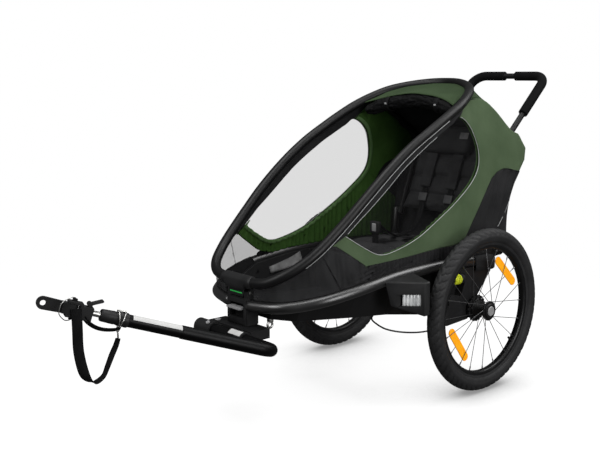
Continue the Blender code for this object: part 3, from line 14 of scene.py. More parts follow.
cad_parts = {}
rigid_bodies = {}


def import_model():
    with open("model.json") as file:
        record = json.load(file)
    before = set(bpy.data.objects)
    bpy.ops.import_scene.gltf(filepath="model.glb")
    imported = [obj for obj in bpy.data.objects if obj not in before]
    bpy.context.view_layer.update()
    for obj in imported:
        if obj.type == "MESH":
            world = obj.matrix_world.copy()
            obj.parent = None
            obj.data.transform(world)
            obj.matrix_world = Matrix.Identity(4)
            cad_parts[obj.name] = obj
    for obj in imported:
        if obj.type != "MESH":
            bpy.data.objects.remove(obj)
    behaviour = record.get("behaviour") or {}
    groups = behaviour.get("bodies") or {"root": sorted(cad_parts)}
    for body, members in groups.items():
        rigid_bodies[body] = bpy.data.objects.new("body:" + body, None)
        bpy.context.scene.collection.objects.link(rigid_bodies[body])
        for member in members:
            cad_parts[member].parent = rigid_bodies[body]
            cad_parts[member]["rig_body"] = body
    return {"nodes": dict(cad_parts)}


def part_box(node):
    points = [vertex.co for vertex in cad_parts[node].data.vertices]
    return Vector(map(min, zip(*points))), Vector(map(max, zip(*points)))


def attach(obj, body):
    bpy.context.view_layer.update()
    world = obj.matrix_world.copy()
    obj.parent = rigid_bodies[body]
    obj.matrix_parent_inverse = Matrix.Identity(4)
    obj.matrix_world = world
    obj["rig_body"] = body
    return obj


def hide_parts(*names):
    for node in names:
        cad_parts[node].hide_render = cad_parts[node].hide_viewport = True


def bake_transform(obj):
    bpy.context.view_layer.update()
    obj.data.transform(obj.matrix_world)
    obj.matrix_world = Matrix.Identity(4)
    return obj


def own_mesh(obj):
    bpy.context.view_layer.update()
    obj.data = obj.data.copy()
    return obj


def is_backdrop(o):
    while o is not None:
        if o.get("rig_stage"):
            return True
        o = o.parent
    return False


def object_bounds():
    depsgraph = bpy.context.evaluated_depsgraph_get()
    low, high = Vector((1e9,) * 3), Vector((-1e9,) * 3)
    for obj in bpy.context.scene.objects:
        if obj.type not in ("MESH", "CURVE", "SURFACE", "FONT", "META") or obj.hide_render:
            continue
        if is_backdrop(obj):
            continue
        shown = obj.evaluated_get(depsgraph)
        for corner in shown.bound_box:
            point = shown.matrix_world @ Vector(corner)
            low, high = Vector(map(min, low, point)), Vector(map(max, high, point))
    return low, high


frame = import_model()
cad_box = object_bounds()
AXLE_Y = sum(corner.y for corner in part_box("tyre_left")) / 2
HANDS = (("left", 1), ("right", -1))
BOTH_ENDS = (0, -1)

# Camera, fitted to the photograph
CAMERA_PLACE = (2.002, -2.23, 0.953)
CAMERA_BACK = (0.7401, -0.6534, 0.1595)
CAMERA_LENS = 55.39
CAMERA_SENSOR = 36

# Light: the world's fill, its strength in reflections, the floor and the shade painted on it,
# and the lamps, each with its place, its aim, its size and its watts
FILL = 0.27
GLOSSY_FILL = 0.09
FLOOR_RADIUS = 4.0
FLOOR_DROP = 0.0005
FLOOR_GREY = 0.12
FLOOR_FADE = (1.1, 2.2)
SHADE_REACH = 0.28
SHADE_START = 0.35
SHADE_LEVELS = (0.25, 0.96)
LIGHTS = (
    ("top_light", (0.1, -0.3, 3.0), (0.0, -0.1, 0.4), (1.7, 2.2), 46),
    ("front_light", (-0.4, -3.0, 2.6), (0.0, -0.2, 0.5), (1.8, 1.6), 58),
    ("side_light", (3.6, -0.1, 1.3), (0.0, 0.1, 0.5), (1.8, 2.0), 68),
    ("rear_light", (1.3, 1.9, 2.6), (0.25, -0.4, 0.38), (1.9, 1.9), 46),
)

# Wheels
WHEEL_X = 0.3216
AXLE_Z = 0.25
TYRE_MAJOR = 0.2265
TYRE_MINOR = 0.0235
RIM_INNER = 0.189
# Offset of each flange of the hub, lean of its spokes and their phase
FLANGES = ((-0.022, math.radians(34), 0.0), (0.02, math.radians(-34), 0.5))
SPOKES_PER_FLANGE = 10
TREAD_BLOCKS = 60
TREAD_SLANT = 0.7
TREAD_CUT = 0.26
TREAD_DEPTH = 0.0026
# Leans from the crown of the tyre, in radians, that carry the tread and the grooves
TREAD_SPAN = (0.14, 1.15)
GROOVES = ((1.2, 1.3), (1.78, 1.88))
GROOVE_DEPTH = 0.0009
TYRE_SEGMENTS = 420
TYRE_SIDES = 44
WHEEL_SEGMENTS = 144
SPOKE_ROOT = 0.0255
SPOKE_RADIUS = 0.001
SPOKE_END_GAP = 0.0006
# Distances in from a spoke's end, and radii
NIPPLE = ((0.012, 0.0013), (0.011, 0.0019), (0.0, 0.0019))
VALVE = (Vector((WHEEL_X, 0.131, 0.1383)), Vector((WHEEL_X, 0.1455, 0.1252)))
# Turned profiles, as distances along the axle and radii
RIM_PROFILE = (
    (-0.0124, 0.2012), (-0.011, 0.2024), (-0.009, 0.1998), (0.009, 0.1998), (0.011, 0.2024),
    (0.0124, 0.2012), (0.012, 0.1965), (0.0098, 0.1915), (0.006, 0.1891), (-0.006, 0.1891),
    (-0.0098, 0.1915), (-0.012, 0.1965),
)
BEAD_PROFILE = (
    (-0.0128, 0.201), (-0.0136, 0.2025), (-0.015, 0.209),
    (0.015, 0.209), (0.0136, 0.2025), (0.0128, 0.201),
)
HUB_PROFILE = (
    (-0.0335, 0.0068), (-0.0335, 0.016), (-0.0325, 0.017), (-0.0245, 0.017),
    (-0.0245, 0.029), (-0.0235, 0.03), (-0.0205, 0.03), (-0.0195, 0.029),
    (-0.0195, 0.0262), (-0.016, 0.0245), (0.004, 0.0165), (0.015, 0.015), (0.0175, 0.0185),
    (0.0175, 0.029), (0.0185, 0.03), (0.0215, 0.03), (0.0225, 0.029), (0.0225, 0.0235),
    (0.0262, 0.0225), (0.0274, 0.0212), (0.0274, 0.0153), (0.02, 0.0153), (0.02, 0.0068),
)

# Frame tubes, as the points of their left halves
LOWER_TUBE = (
    (0.0453, -0.685, 0.325), (0.061, -0.685, 0.325), (0.136, -0.663, 0.33), (0.181, -0.618, 0.337),
    (0.225, -0.555, 0.352), (0.25, -0.45, 0.371), (0.25, -0.3, 0.388), (0.25, -0.1, 0.392),
    (0.25, 0.05, 0.385), (0.238, 0.125, 0.38), (0.2, 0.16, 0.378), (0.1, 0.165, 0.378),
    (0.0, 0.165, 0.378),
)
TUBE_RADIUS = 0.016
HOOP = (
    (0.0495, -0.69, 0.391), (0.06, -0.69, 0.391), (0.11, -0.683, 0.398), (0.147, -0.66, 0.417),
    (0.176, -0.62, 0.444), (0.1965, -0.57, 0.4825), (0.2115, -0.5, 0.5425),
    (0.222, -0.42, 0.613), (0.2255, -0.33, 0.685), (0.2255, -0.24, 0.746),
    (0.225, -0.15, 0.794), (0.222, -0.07, 0.834), (0.215, -0.01, 0.862),
    (0.196, 0.046, 0.887), (0.17, 0.092, 0.906), (0.135, 0.13, 0.918), (0.09, 0.16, 0.9265),
    (0.045, 0.18, 0.931), (0.0, 0.187, 0.932),
)
HOOP_FRONT = (0.0, -0.69, 0.391)
HOOP_RADIUS = 0.0145
CLAMP_REACH = 0.068
# Level sections of the saddle: height, half width, front and rear
SADDLE = (
    (0.372, 0.0425, -0.71, -0.67), (0.3735, 0.044, -0.711, -0.669), (0.382, 0.047, -0.7105, -0.6695),
    (0.39, 0.052, -0.7095, -0.6705), (0.396, 0.058, -0.708, -0.672),
)
SADDLE_ROUNDING = 0.009
HOOP_SIDE = [Vector(point) for point in HOOP[4:14]]
HOOP_LINE = [Vector(point[1:]) for point in HOOP[4:15]]
HOOP_ARCH = HOOP[14:]
ARCH_CENTRE = Vector((0.0, 0.03, 0.88))
RAIL_X = 0.195
RAIL_FRONT = (0.046, 0.885)
HANDLE_PIVOT = (0.3, 0.725)
HANDLE_BAR = (0.538, 0.952)
HANDLE_HALF_WIDTH = 0.15
HANDLE_BEND = 0.045
HANDLE_RADIUS = 0.0098
RAIL_RADIUS = 0.009
RAIL_DISC = (0.1611, 0.204)
RAIL_DISC_RADIUS = 0.02
HANDLE_DISC = (0.1395, 0.1605)
HANDLE_DISC_RADIUS = 0.022
DISC_EDGE = 0.003
REAR_POST = ((0.16, 0.378), (0.17, 0.495))
REAR_POST_X = 0.2
REAR_POST_RADIUS = 0.01
GRIP_RADIUS = 0.016
GRIP_END_RADIUS = 0.0135
GRIP_LENGTH = 0.29
GRIP_GAP = 0.023

# Fabric sides in the YZ plane
FABRIC = 0.0012
LEAST_FILL = 0.3
FLAT_MARGIN = 1.05
FABRIC_BEND = (0.43, 0.65)
FILM = 0.0004
FILM_INSET = 0.0012
PIPING_RADIUS = 0.0008
PLEAT_DEPTH = 0.003
PLEAT_PITCH = 0.015
REAR_FOLD_START = 0.05
REAR_FOLD_FADE = 0.06
REAR_FOLD_SLANT = 0.35
REAR_FOLD_PITCH = 0.034
REAR_FOLD_WANDER = 0.002
FOOT_SEAM_Z = 0.41
FOOT_SEAM_FADE = 0.05
LINING_FREE_Z = 0.6
LINING_FADE = 0.1
LINING_GAP = 0.0065
LINING_GATHER = 0.0028
LINING_PITCH = 0.021
HEM_WIDTH = 0.013
HEM_GAP = 0.003
SEAM_GAP = 0.0008
SIDE_X = 0.2455
SIDE_REACH = 0.12
# Rows of the roof: y and z at the ends, and how far the middle stands back and up
ROOF_SHOULDER = (0.105, 0.88, 0.098, 0.034)
ROOF = ((0.152, 0.848, 0.078, 0.014), (0.218, 0.787, 0.048, 0.007), (0.257, 0.77, 0.02, 0.002))
ROOF_TONGUE = ((0.272, 0.764), (0.298, 0.735), (0.298, 0.684))
TONGUE_HALF_WIDTH = 0.125
REAR_CORNER = ((0.267, 0.759), (0.295, 0.723), (0.29, 0.685))
REAR = ((0.272, 0.665), (0.264, 0.65), (0.23, 0.591), (0.212, 0.544), (0.199, 0.471), (0.193, 0.414))
REAR_FOOT = ((0.188, 0.391), (0.152, 0.386))
SIDE_FOOT = (0.12, 0.0, -0.15, -0.3, -0.42, -0.52)
WINDOW = (
    (-0.492, 0.5195), (-0.4415, 0.4866), (-0.3803, 0.4572), (-0.3171, 0.4609), (-0.2261, 0.486),
    (-0.1425, 0.527), (-0.0418, 0.584), (0.0431, 0.65), (0.0626, 0.7158), (0.0357, 0.7931),
    (-0.0167, 0.83), (-0.06, 0.809), (-0.1392, 0.7707), (-0.179, 0.7493), (-0.2684, 0.694),
    (-0.3572, 0.6253), (-0.4388, 0.5637),
)
WINDOW_FRONT = WINDOW[0]
WINDOW_TOP = WINDOW[10]
GREEN_LOWER = (
    (-0.5226, 0.4947), (-0.43, 0.4311), (-0.2841, 0.4365), (-0.1229, 0.4459), (-0.0666, 0.4453),
    (-0.0312, 0.4503), (-0.0028, 0.464), (0.0192, 0.4937), (0.0534, 0.5404), (0.0875, 0.5877),
    (0.1048, 0.6139), (0.1219, 0.6358), (0.1475, 0.6548), (0.1812, 0.6639), (0.2198, 0.6613),
    (0.2478, 0.6501), (0.3, 0.628),
)
SIDE_DROP = {"left": 0.0, "right": 0.021}
MESH_REAR_Y = -0.415
FRONT_PIPING_Y = -0.13
REAR_PIPING = ((0.212, 0.56), (0.197, 0.536), (0.177, 0.508), (0.154, 0.481))

# Visor, its rolled cover, the seat and its harness
VISOR_HALF_WIDTH = 0.188
VISOR_EDGE = ((-0.005, 0.866), (0.03, 0.898))
COVER_RADIUS = 0.024
COVER_HALF_LENGTH = 0.15
COVER_REACH = 0.187
REAR_PIVOT = Vector((0, 0.17, 0.485))
SEAT_RISE = (Vector((0, 0.25, 0.7)) - REAR_PIVOT).normalized()
SEAT_FORWARD = Vector((0, -SEAT_RISE.z, SEAT_RISE.y))
STRUT_FACE = 0.0103
BACK_FACE = 0.0403
PAD_VOXEL = 0.005
PAD_INSET = 0.004
PAD_PRESSURE = 4
PAD_FRAMES = 20
PAD_CAP = 0.008
CHANNEL_WIDTH = 0.006
CHANNEL_DEPTH = 0.007
CHANNEL_FADE = 0.025
HARNESS_BEND = (0.44, 0.53)
HARNESS_HALF_WIDTH = 0.0125
HARNESS_FOOT = (
    (0.048, 0.118, 0.486), (0.044, 0.085, 0.45), (0.038, 0.035, 0.437), (0.03, -0.02, 0.4365),
    (0.022, -0.07, 0.447), (0.014, -0.119, 0.472), (0.01, -0.138, 0.488),
)

# Tow arm, hitch strap and left brake cable
EYE_CENTRE = Vector((0.06, -1.305, 0.438))
ARM_ELBOW = Vector((0.252, -0.74, 0.245))
ARM_INNER_END_X = -0.1
ARM_BEND = 0.052
ARM_RADIUS = 0.017
ARM_FRONT_RADIUS = 0.0155
ARM_FRONT_END = 0.3425
FRONT_TUBE = (0.2053, 0.342)
ARM_STRIP = (0.214, 0.34)
ARM_STRIP_RADIUS = 0.016
ARM_STRIP_ANGLES = (-12, 62)
# Distances back from the hitch eye, and radii
SOCKET_PROFILE = (
    (0.137, 0.0138), (0.139, 0.015), (0.17, 0.0163), (0.172, 0.0155), (0.176, 0.0158),
    (0.178, 0.0168), (0.2, 0.0179), (0.203, 0.0178), (0.205, 0.0165),
)
ARM_BACK = (ARM_ELBOW - EYE_CENTRE).normalized()
ARM_SIDE = Vector((ARM_BACK.y, -ARM_BACK.x, 0)).normalized()
ARM_UP = ARM_SIDE.cross(ARM_BACK)
STRAP = (
    (0.0998, -1.2415, 0.42), (0.0998, -1.2413, 0.396), (0.099, -1.2406, 0.369),
    (0.096, -1.2385, 0.32), (0.0985, -1.232, 0.276), (0.102, -1.223, 0.25),
    (0.1075, -1.2065, 0.2365), (0.114, -1.187, 0.248), (0.117, -1.1765, 0.27),
    (0.118, -1.164, 0.297), (0.1168, -1.151, 0.319), (0.115, -1.1437, 0.3345),
)
STRAP_TWIST = (0, 0, 0, 0, -10, -35, -65, -80, -76, -72, -74, -78)
STRAP_WIDTH = 0.025
STRAP_THICKNESS = 0.0018
# Distances back from the hitch eye, up and to the side
RETURN_STRAP = (
    (0.098, -0.012, 0.01), (0.112, -0.022, 0.01), (0.13, -0.029, 0.01), (0.15, -0.031, 0.009),
    (0.172, -0.028, 0.007), (0.192, -0.022, 0.004),
)
RETURN_WIDTH = 0.016
RETURN_THICKNESS = 0.0016
# One face of a webbing, in half widths and half thicknesses
RIBBON_SECTION = ((-1, -0.4), (-0.94, -1), (0, -1.1), (0.94, -1), (1, -0.4))
CABLE_RADIUS = 0.0025
CABLE = (
    (0.195, -0.36, 0.265), (0.197, -0.352, 0.25), (0.21, -0.315, 0.224), (0.23, -0.26, 0.208),
    (0.247, -0.19, 0.2), (0.252, -0.125, 0.204), (0.251, -0.075, 0.224), (0.25, -0.05, 0.246),
    (0.25, -0.05, 0.2597),
)

# CAD meshes: the reach within which corners are joined, and the angle that still counts as flat
WELD_REACH = 1e-5
FLAT_ANGLE = math.radians(0.5)

# The part of a noise's range that a look spreads its tones and roughness over
NOISE_SPAN = (0.3, 0.7)


# Materials
def srgb(*channels):
    """Linear colour of an sRGB one, 0 to 255."""
    shares = [channel / 255 for channel in channels]
    return tuple(c / 12.92 if c <= 0.04045 else ((c + 0.055) / 1.055) ** 2.4 for c in shares)


def grey(level):
    """A neutral tone with a touch of blue, as black goods have."""
    return srgb(level, level, level + 1)


def add_node(tree, kind, *sockets, **values):
    """A shader node: sockets feed its first inputs, capitals name inputs and small letters settings."""
    made = tree.nodes.new("ShaderNode" + kind)
    for index, socket in enumerate(sockets):
        tree.links.new(socket, made.inputs[index])
    for name, value in values.items():
        if name[0].islower():
            setattr(made, name, value)
        elif isinstance(value, bpy.types.NodeSocket):
            tree.links.new(value, made.inputs[name.replace("_", " ")])
        else:
            made.inputs[name.replace("_", " ")].default_value = value
    return made


class Look:
    """A Principled material whose detail is added step by step, in object coordinates."""

    def __init__(self, name, colour, roughness, metallic=0.0, **sockets):
        self.material = bpy.data.materials.new(name)
        self.material.use_nodes = True
        self.tree = self.material.node_tree
        self.inputs = self.tree.nodes["Principled BSDF"].inputs
        sockets |= {"Base_Color": (*colour, 1), "Roughness": roughness, "Metallic": metallic}
        for socket, value in sockets.items():
            self.inputs[socket.replace("_", " ")].default_value = value
        self.place = add_node(self.tree, "TexCoord").outputs["Object"]
        self.normal = None

    def link(self, output, socket):
        self.tree.links.new(output, self.inputs[socket])
        return self

    def noise(self, scale, detail=3.0, stretch=(1, 1, 1)):
        place = add_node(self.tree, "Mapping", Vector=self.place, Scale=stretch).outputs["Vector"]
        return add_node(self.tree, "TexNoise", Vector=place, Scale=scale, Detail=detail).outputs["Fac"]

    def bands(self, direction, pitch):
        """Waves across one axis, one to each pitch."""
        scale = math.pi / 10 / pitch
        wave = add_node(self.tree, "TexWave", bands_direction=direction, Vector=self.place, Scale=scale)
        return wave.outputs["Fac"]

    def tint(self, scale, low, high, stretch=(1, 1, 1)):
        """Colour that wanders between two tones."""
        ramp = add_node(self.tree, "ValToRGB", self.noise(scale, 4.0, stretch))
        for element, place, colour in zip(ramp.color_ramp.elements, NOISE_SPAN, (low, high)):
            element.position = place
            element.color = (*colour, 1)
        return self.link(ramp.outputs["Color"], "Base Color")

    def rub(self, scale, low, high):
        """Roughness that wanders, as handling leaves it."""
        start, end = NOISE_SPAN
        levels = {"From_Min": start, "From_Max": end, "To_Min": low, "To_Max": high}
        span = add_node(self.tree, "MapRange", self.noise(scale), **levels)
        return self.link(span.outputs["Result"], "Roughness")

    def emboss(self, height, distance, strength):
        values = {"Height": height, "Distance": distance, "Strength": strength}
        if self.normal:
            values["Normal"] = self.normal
        self.normal = add_node(self.tree, "Bump", **values).outputs["Normal"]
        return self.link(self.normal, "Normal")

    def grain(self, scale, distance, strength=0.6, stretch=(1, 1, 1)):
        return self.emboss(self.noise(scale, 2.0, stretch), distance, strength)

    def weave(self, first, second, pitch, distance, strength=0.5):
        """Warp and weft along two axes."""
        warp, weft = self.bands(first, pitch), self.bands(second, pitch)
        crossing = add_node(self.tree, "Math", warp, weft, operation="MULTIPLY")
        return self.emboss(crossing.outputs["Value"], distance, strength)


def make_looks():
    matte = {"Specular_IOR_Level": 0.15}
    soft = {"Specular_IOR_Level": 0.3}
    green = Look("green_cloth", srgb(70, 86, 61), 0.8, **matte)
    green.tint(9, srgb(63, 79, 55), srgb(76, 92, 67))
    green.weave("Y", "Z", 0.0011, 0.0004).grain(28, 0.004, 0.25)
    hem = Look("green_hem", srgb(78, 106, 64), 0.85, **matte)
    hem.tint(20, srgb(70, 98, 56), srgb(86, 114, 72)).weave("Y", "Z", 0.0011, 0.0004)
    # A darker, deeper copy of the green cloth for the sides' inner face: painted shade of the dim cabin.
    lining = Look("green_cloth_painted_shade_inside", srgb(52, 82, 33), 0.85, **matte)
    lining.tint(11, srgb(45, 74, 28), srgb(59, 90, 39))
    lining.weave("Y", "Z", 0.0011, 0.0004).grain(30, 0.004, 0.3)
    # A darker copy of the green cloth for the roof, visor and tongue: painted shade on the top.
    roof = Look("green_cloth_painted_shade", srgb(47, 62, 39), 0.8, **matte)
    roof.tint(9, srgb(42, 57, 35), srgb(52, 68, 44))
    roof.weave("X", "Y", 0.0011, 0.0004).grain(28, 0.004, 0.3)
    black_cloth = Look("black_cloth", grey(32), 0.85, **matte)
    black_cloth.tint(14, grey(27), grey(39)).weave("Y", "Z", 0.0013, 0.0004).grain(24, 0.004, 0.3)
    mesh = Look("black_mesh", grey(52), 0.9, Alpha=0.35, **matte)
    mesh.tint(16, grey(42), grey(62), stretch=(1, 4, 1)).weave("Y", "Z", 0.0016, 0.0004)
    film = Look("window_film", grey(22), 0.5, Alpha=0.15, **matte)
    film.tint(6, grey(18), grey(27)).weave("Y", "Z", 0.0014, 0.0002, 0.3)
    # The rolled cover's own black, deepened past the other black cloth as painted shade under the visor.
    cover = Look("cover_cloth", grey(9), 0.75, **matte)
    cover.tint(18, grey(5), grey(13), stretch=(0.4, 1, 1)).weave("X", "Z", 0.0013, 0.0003)
    cover.grain(45, 0.006, 0.5, (0.35, 1, 1))
    seat = Look("seat_cloth", grey(44), 0.9, **matte)
    seat.tint(15, grey(37), grey(52)).weave("X", "Z", 0.0016, 0.0003, 0.3).grain(26, 0.004, 0.35)
    webbing = Look("webbing", grey(14), 0.8, **matte)
    webbing.tint(30, grey(10), grey(19)).weave("Z", "Y", 0.0018, 0.0005, 0.8)
    grey_cloth = Look("grey_cloth", srgb(112, 112, 112), 0.85, **matte)
    grey_cloth.tint(40, srgb(92, 92, 92), srgb(132, 132, 132)).weave("Y", "Z", 0.0016, 0.0004)
    piping = Look("reflective_piping", srgb(172, 174, 174), 0.45)
    piping.tint(40, srgb(158, 160, 160), srgb(186, 188, 188)).grain(900, 0.0003)
    # The lower tube's copy of the black paint, stronger in reflections: a lit copy, for its highlight.
    lacquer = {"Specular_IOR_Level": 1.0, "Coat_Weight": 0.5, "Coat_Roughness": 0.36}
    gloss = Look("gloss_coat", grey(5), 0.38, **lacquer)
    gloss.rub(14, 0.35, 0.41).grain(420, 0.0002, 0.25)
    # The tow arm's copy of the same paint, darker and duller in reflections: painted shade.
    arm = Look("arm_coat", grey(4), 0.46, **matte)
    arm.rub(14, 0.38, 0.46).grain(420, 0.0002, 0.25)
    satin = Look("satin_coat", grey(12), 0.42, **soft)
    satin.rub(14, 0.38, 0.5).grain(700, 0.0002, 0.35)
    plastic = Look("moulded_plastic", grey(24), 0.5, **soft)
    plastic.tint(20, grey(20), grey(28)).rub(26, 0.44, 0.58).grain(1600, 0.00012, 0.4)
    grey_plastic = Look("grey_plastic", grey(70), 0.55, **soft)
    grey_plastic.tint(40, grey(62), grey(78)).grain(1400, 0.00012, 0.4)
    tub = Look("tub_moulding", grey(13), 0.58, **soft)
    tub.tint(12, grey(10), grey(17)).grain(1100, 0.00015, 0.5)
    foam = Look("grip_foam", grey(7), 0.92, **matte)
    foam.tint(60, grey(5), grey(10)).grain(650, 0.0006, 0.6)
    rubber = Look("tyre_rubber", grey(31), 0.62, **soft)
    rubber.tint(22, grey(26), grey(38)).rub(18, 0.54, 0.7).grain(800, 0.0002, 0.4)
    rim = Look("rim_anodised", grey(18), 0.34, 0.35)
    rim.rub(30, 0.28, 0.42).grain(900, 0.0001, 0.2)
    hub = Look("hub_black", grey(17), 0.42, **soft)
    hub.rub(40, 0.36, 0.5).grain(1300, 0.0001, 0.3)
    spoke = Look("spoke_steel", srgb(120, 120, 122), 0.34, 0.9)
    spoke.tint(60, srgb(104, 104, 106), srgb(134, 134, 136)).grain(1500, 0.00005, 0.3)
    steel = Look("zinc_steel", srgb(206, 206, 203), 0.3, 1.0)
    steel.tint(80, srgb(192, 192, 189), srgb(216, 216, 213)).rub(120, 0.24, 0.42)
    bolt = Look("black_bolt", grey(34), 0.38, 0.8)
    bolt.rub(150, 0.3, 0.48).grain(1500, 0.0001, 0.3)
    silver = Look("cap_silver", srgb(160, 160, 160), 0.42, 0.4)
    silver.tint(70, srgb(150, 150, 150), srgb(172, 172, 172)).grain(700, 0.0002, 0.3)
    # The amber lens glows a little, though it is no lamp: painted light.
    glow = {"Emission_Color": (*srgb(255, 165, 0), 1), "Emission_Strength": 0.22}
    amber = Look("amber_lens", srgb(255, 163, 0), 0.25, Coat_Weight=0.5, Coat_Roughness=0.1, **glow)
    amber.tint(60, srgb(255, 155, 0), srgb(255, 178, 10)).weave("Y", "Z", 0.0042, 0.0006, 0.5)
    # Upright streaks from mid grey to near white over the lens's pale grey: painted highlights.
    clear = Look("clear_lens", srgb(170, 172, 172), 0.14, Coat_Weight=0.8, Coat_Roughness=0.05)
    clear.tint(70, srgb(130, 132, 134), srgb(238, 240, 240), stretch=(1, 1, 0.3))
    clear.weave("X", "Z", 0.004, 0.0012, 0.9)
    lime = Look("lime_elastomer", srgb(200, 210, 26), 0.5)
    lime.tint(40, srgb(190, 200, 20), srgb(212, 222, 40)).grain(500, 0.0003, 0.4)
    sheath = Look("cable_sheath", srgb(16, 16, 16), 0.4)
    sheath.rub(50, 0.34, 0.48).grain(900, 0.0001, 0.3)
    pale = Look("pale_grey_plastic", grey(140), 0.45)
    pale.tint(40, grey(132), grey(150)).grain(1500, 0.0001, 0.4)
    indicator = Look("indicator_green", srgb(40, 180, 76), 0.4)
    indicator.tint(60, srgb(34, 170, 70), srgb(50, 192, 86)).grain(900, 0.0001, 0.3)
    label = Look("blank_label", srgb(188, 188, 187), 0.5, **matte)
    label.tint(25, srgb(180, 180, 179), srgb(196, 196, 195)).grain(300, 0.0002, 0.2)
    looks = {key: value for key, value in locals().items() if isinstance(value, Look)}
    return {key: look.material for key, look in looks.items()}


# Curves and shapes
def smooth(points, steps):
    """Points along a Catmull-Rom curve through the given points, with steps to each span."""
    points = [Vector(point) for point in points]
    padded = [2 * points[0] - points[1], *points, 2 * points[-1] - points[-2]]
    curve = []
    for before, start, end, after in zip(padded, padded[1:], padded[2:], padded[3:]):
        for step in range(steps):
            t = step / steps
            square = (2 * before - 5 * start + 4 * end - after) * t**2
            cube = (3 * start - before - 3 * end + after) * t**3
            curve.append((2 * start + (end - before) * t + square + cube) / 2)
    return [*curve, points[-1]]


def flat_smooth(points, steps):
    return [(point.x, point.y) for point in smooth([(*point, 0) for point in points], steps)]


def rounded_path(corners, radius, steps=12):
    """Straight runs between corners, with an arc of one radius at each inner corner."""
    corners = [Vector(corner) for corner in corners]
    path = [corners[0]]
    for before, corner, after in zip(corners, corners[1:], corners[2:]):
        to_before = (before - corner).normalized()
        to_after = (after - corner).normalized()
        half = to_before.angle(to_after) / 2
        middle = corner + (to_before + to_after).normalized() * radius / math.sin(half)
        start = corner + to_before * radius / math.tan(half)
        end = corner + to_after * radius / math.tan(half)
        for step in range(steps + 1):
            path.append(middle + radius * (start - middle).slerp(end - middle, step / steps))
    return [*path, corners[-1]]


def crossed(path):
    """A path's mirror image on the other side of the middle plane, in the opposite order."""
    return [Vector((-point.x, point.y, point.z)) for point in reversed(path)]


def mirrored(half):
    """A whole path from its left half, which ends on the middle plane."""
    half = [Vector(point) for point in half]
    return half + crossed(half[:-1])


def unit(value):
    """A value kept between 0 and 1."""
    return min(1, max(0, value))


def stretch_of(path, start, end):
    """The stretch of a path between two distances along it."""
    stretch = []
    travelled = 0.0
    for first, second in zip(path, path[1:]):
        length = (second - first).length
        for limit in (start, end):
            if travelled <= limit < travelled + length:
                stretch.append(first.lerp(second, (limit - travelled) / length))
        travelled += length
        if start < travelled < end:
            stretch.append(second)
    return stretch


def length_of(path):
    return sum((second - first).length for first, second in zip(path, path[1:]))


def turns(count):
    """The angles of a whole turn, in even steps."""
    return [2 * math.pi * step / count for step in range(count)]


def ray_of(turn):
    """A ray at an angle round X."""
    return Vector((0, math.cos(turn), math.sin(turn)))


def skin(rings, shape=None, closed=True, loop=False, ends=()):
    """Faces between rings of points, which may loop, and over those rings that are given as ends."""
    shape = shape or bmesh.new()
    rings = [[shape.verts.new(point) for point in ring] for ring in rings]
    for first, second in zip(rings, rings[1:] + rings[:1] if loop else rings[1:]):
        for index in range(len(first) if closed else len(first) - 1):
            following = (index + 1) % len(first)
            shape.faces.new((first[index], first[following], second[following], second[index]))
    for end in ends:
        shape.faces.new(rings[end])
    return shape


def tube(path, radius, sides=24, shape=None, loop=False):
    """A round bar along a path; radius may be one value per point."""
    path = [Vector(point) for point in path]
    last = len(path) - 1
    radii = radius if isinstance(radius, (list, tuple)) else [radius] * len(path)
    if loop:
        runs = [path[(i + 1) % len(path)] - path[i - 1] for i in range(len(path))]
    else:
        runs = [path[min(i + 1, last)] - path[max(i - 1, 0)] for i in range(len(path))]
    tangents = [run.normalized() for run in runs]
    across = tangents[0].orthogonal().normalized()
    rings = []
    for index, (point, tangent) in enumerate(zip(path, tangents)):
        if index:
            across = tangents[index - 1].rotation_difference(tangent) @ across
        other = tangent.cross(across)
        rays = [across * math.cos(turn) + other * math.sin(turn) for turn in turns(sides)]
        rings.append([point + ray * radii[index] for ray in rays])
    return skin(rings, shape, loop=loop, ends=() if loop else BOTH_ENDS)


def capped(start, end, radius, edge=0.001, sides=24, shape=None):
    """A round bar with rounded ends."""
    start, end = Vector(start), Vector(end)
    run = (end - start).normalized()
    stations = [start, start + run * edge * 0.3, start + run * edge]
    stations += [end - run * edge, end - run * edge * 0.3, end]
    inset = [radius - edge, radius - edge * 0.3, radius]
    return tube(stations, [*inset, *reversed(inset)], sides, shape)


def lathe(profile, centre, segments, shape=None):
    """A closed profile of (distance along X, radius) points, turned round X."""
    rings = []
    for ray in map(ray_of, turns(segments)):
        rings.append([Vector(centre) + Vector((x, 0, 0)) + ray * radius for x, radius in profile])
    return skin(rings, shape, loop=True)


def sheet_of(rows):
    """An open sheet over rows of points."""
    return skin(rows, closed=False)


def ribbon(path, flats, width, thickness):
    """Flat webbing along a path; flats give the direction of its width at each point."""
    rings = []
    for index, (point, flat) in enumerate(zip(path, flats)):
        run = (path[min(index + 1, len(path) - 1)] - path[max(index - 1, 0)]).normalized()
        flat = (flat - run * flat.dot(run)).normalized()
        thick = run.cross(flat).normalized() * thickness / 2
        ring = []
        for face in (1, -1):
            for across, out in RIBBON_SECTION:
                ring.append(point + flat * face * across * width / 2 + thick * face * out)
        rings.append(ring)
    return skin(rings, ends=BOTH_ENDS)


def band(path, half):
    """A flat band along a path, spread along X."""
    sides = [Vector((across, 0, 0)) for across in (-half, 0.0, half)]
    return sheet_of([[point + side for point in path] for side in sides])


def on_arm(back, up=0.0, side=0.0):
    return EYE_CENTRE + ARM_BACK * back + ARM_UP * up + ARM_SIDE * side


def plain_box(low, high, edge=0.0015, segments=3):
    shape = bmesh.new()
    bmesh.ops.create_cube(shape, size=1)
    low, high = Vector(low), Vector(high)
    size = high - low
    for vert in shape.verts:
        vert.co = Vector([(co + 0.5) * side for co, side in zip(vert.co, size)]) + low
    rounding = {"offset": edge, "segments": segments, "affect": "EDGES", "profile": 0.5}
    bmesh.ops.bevel(shape, geom=shape.edges[:], **rounding)
    return shape


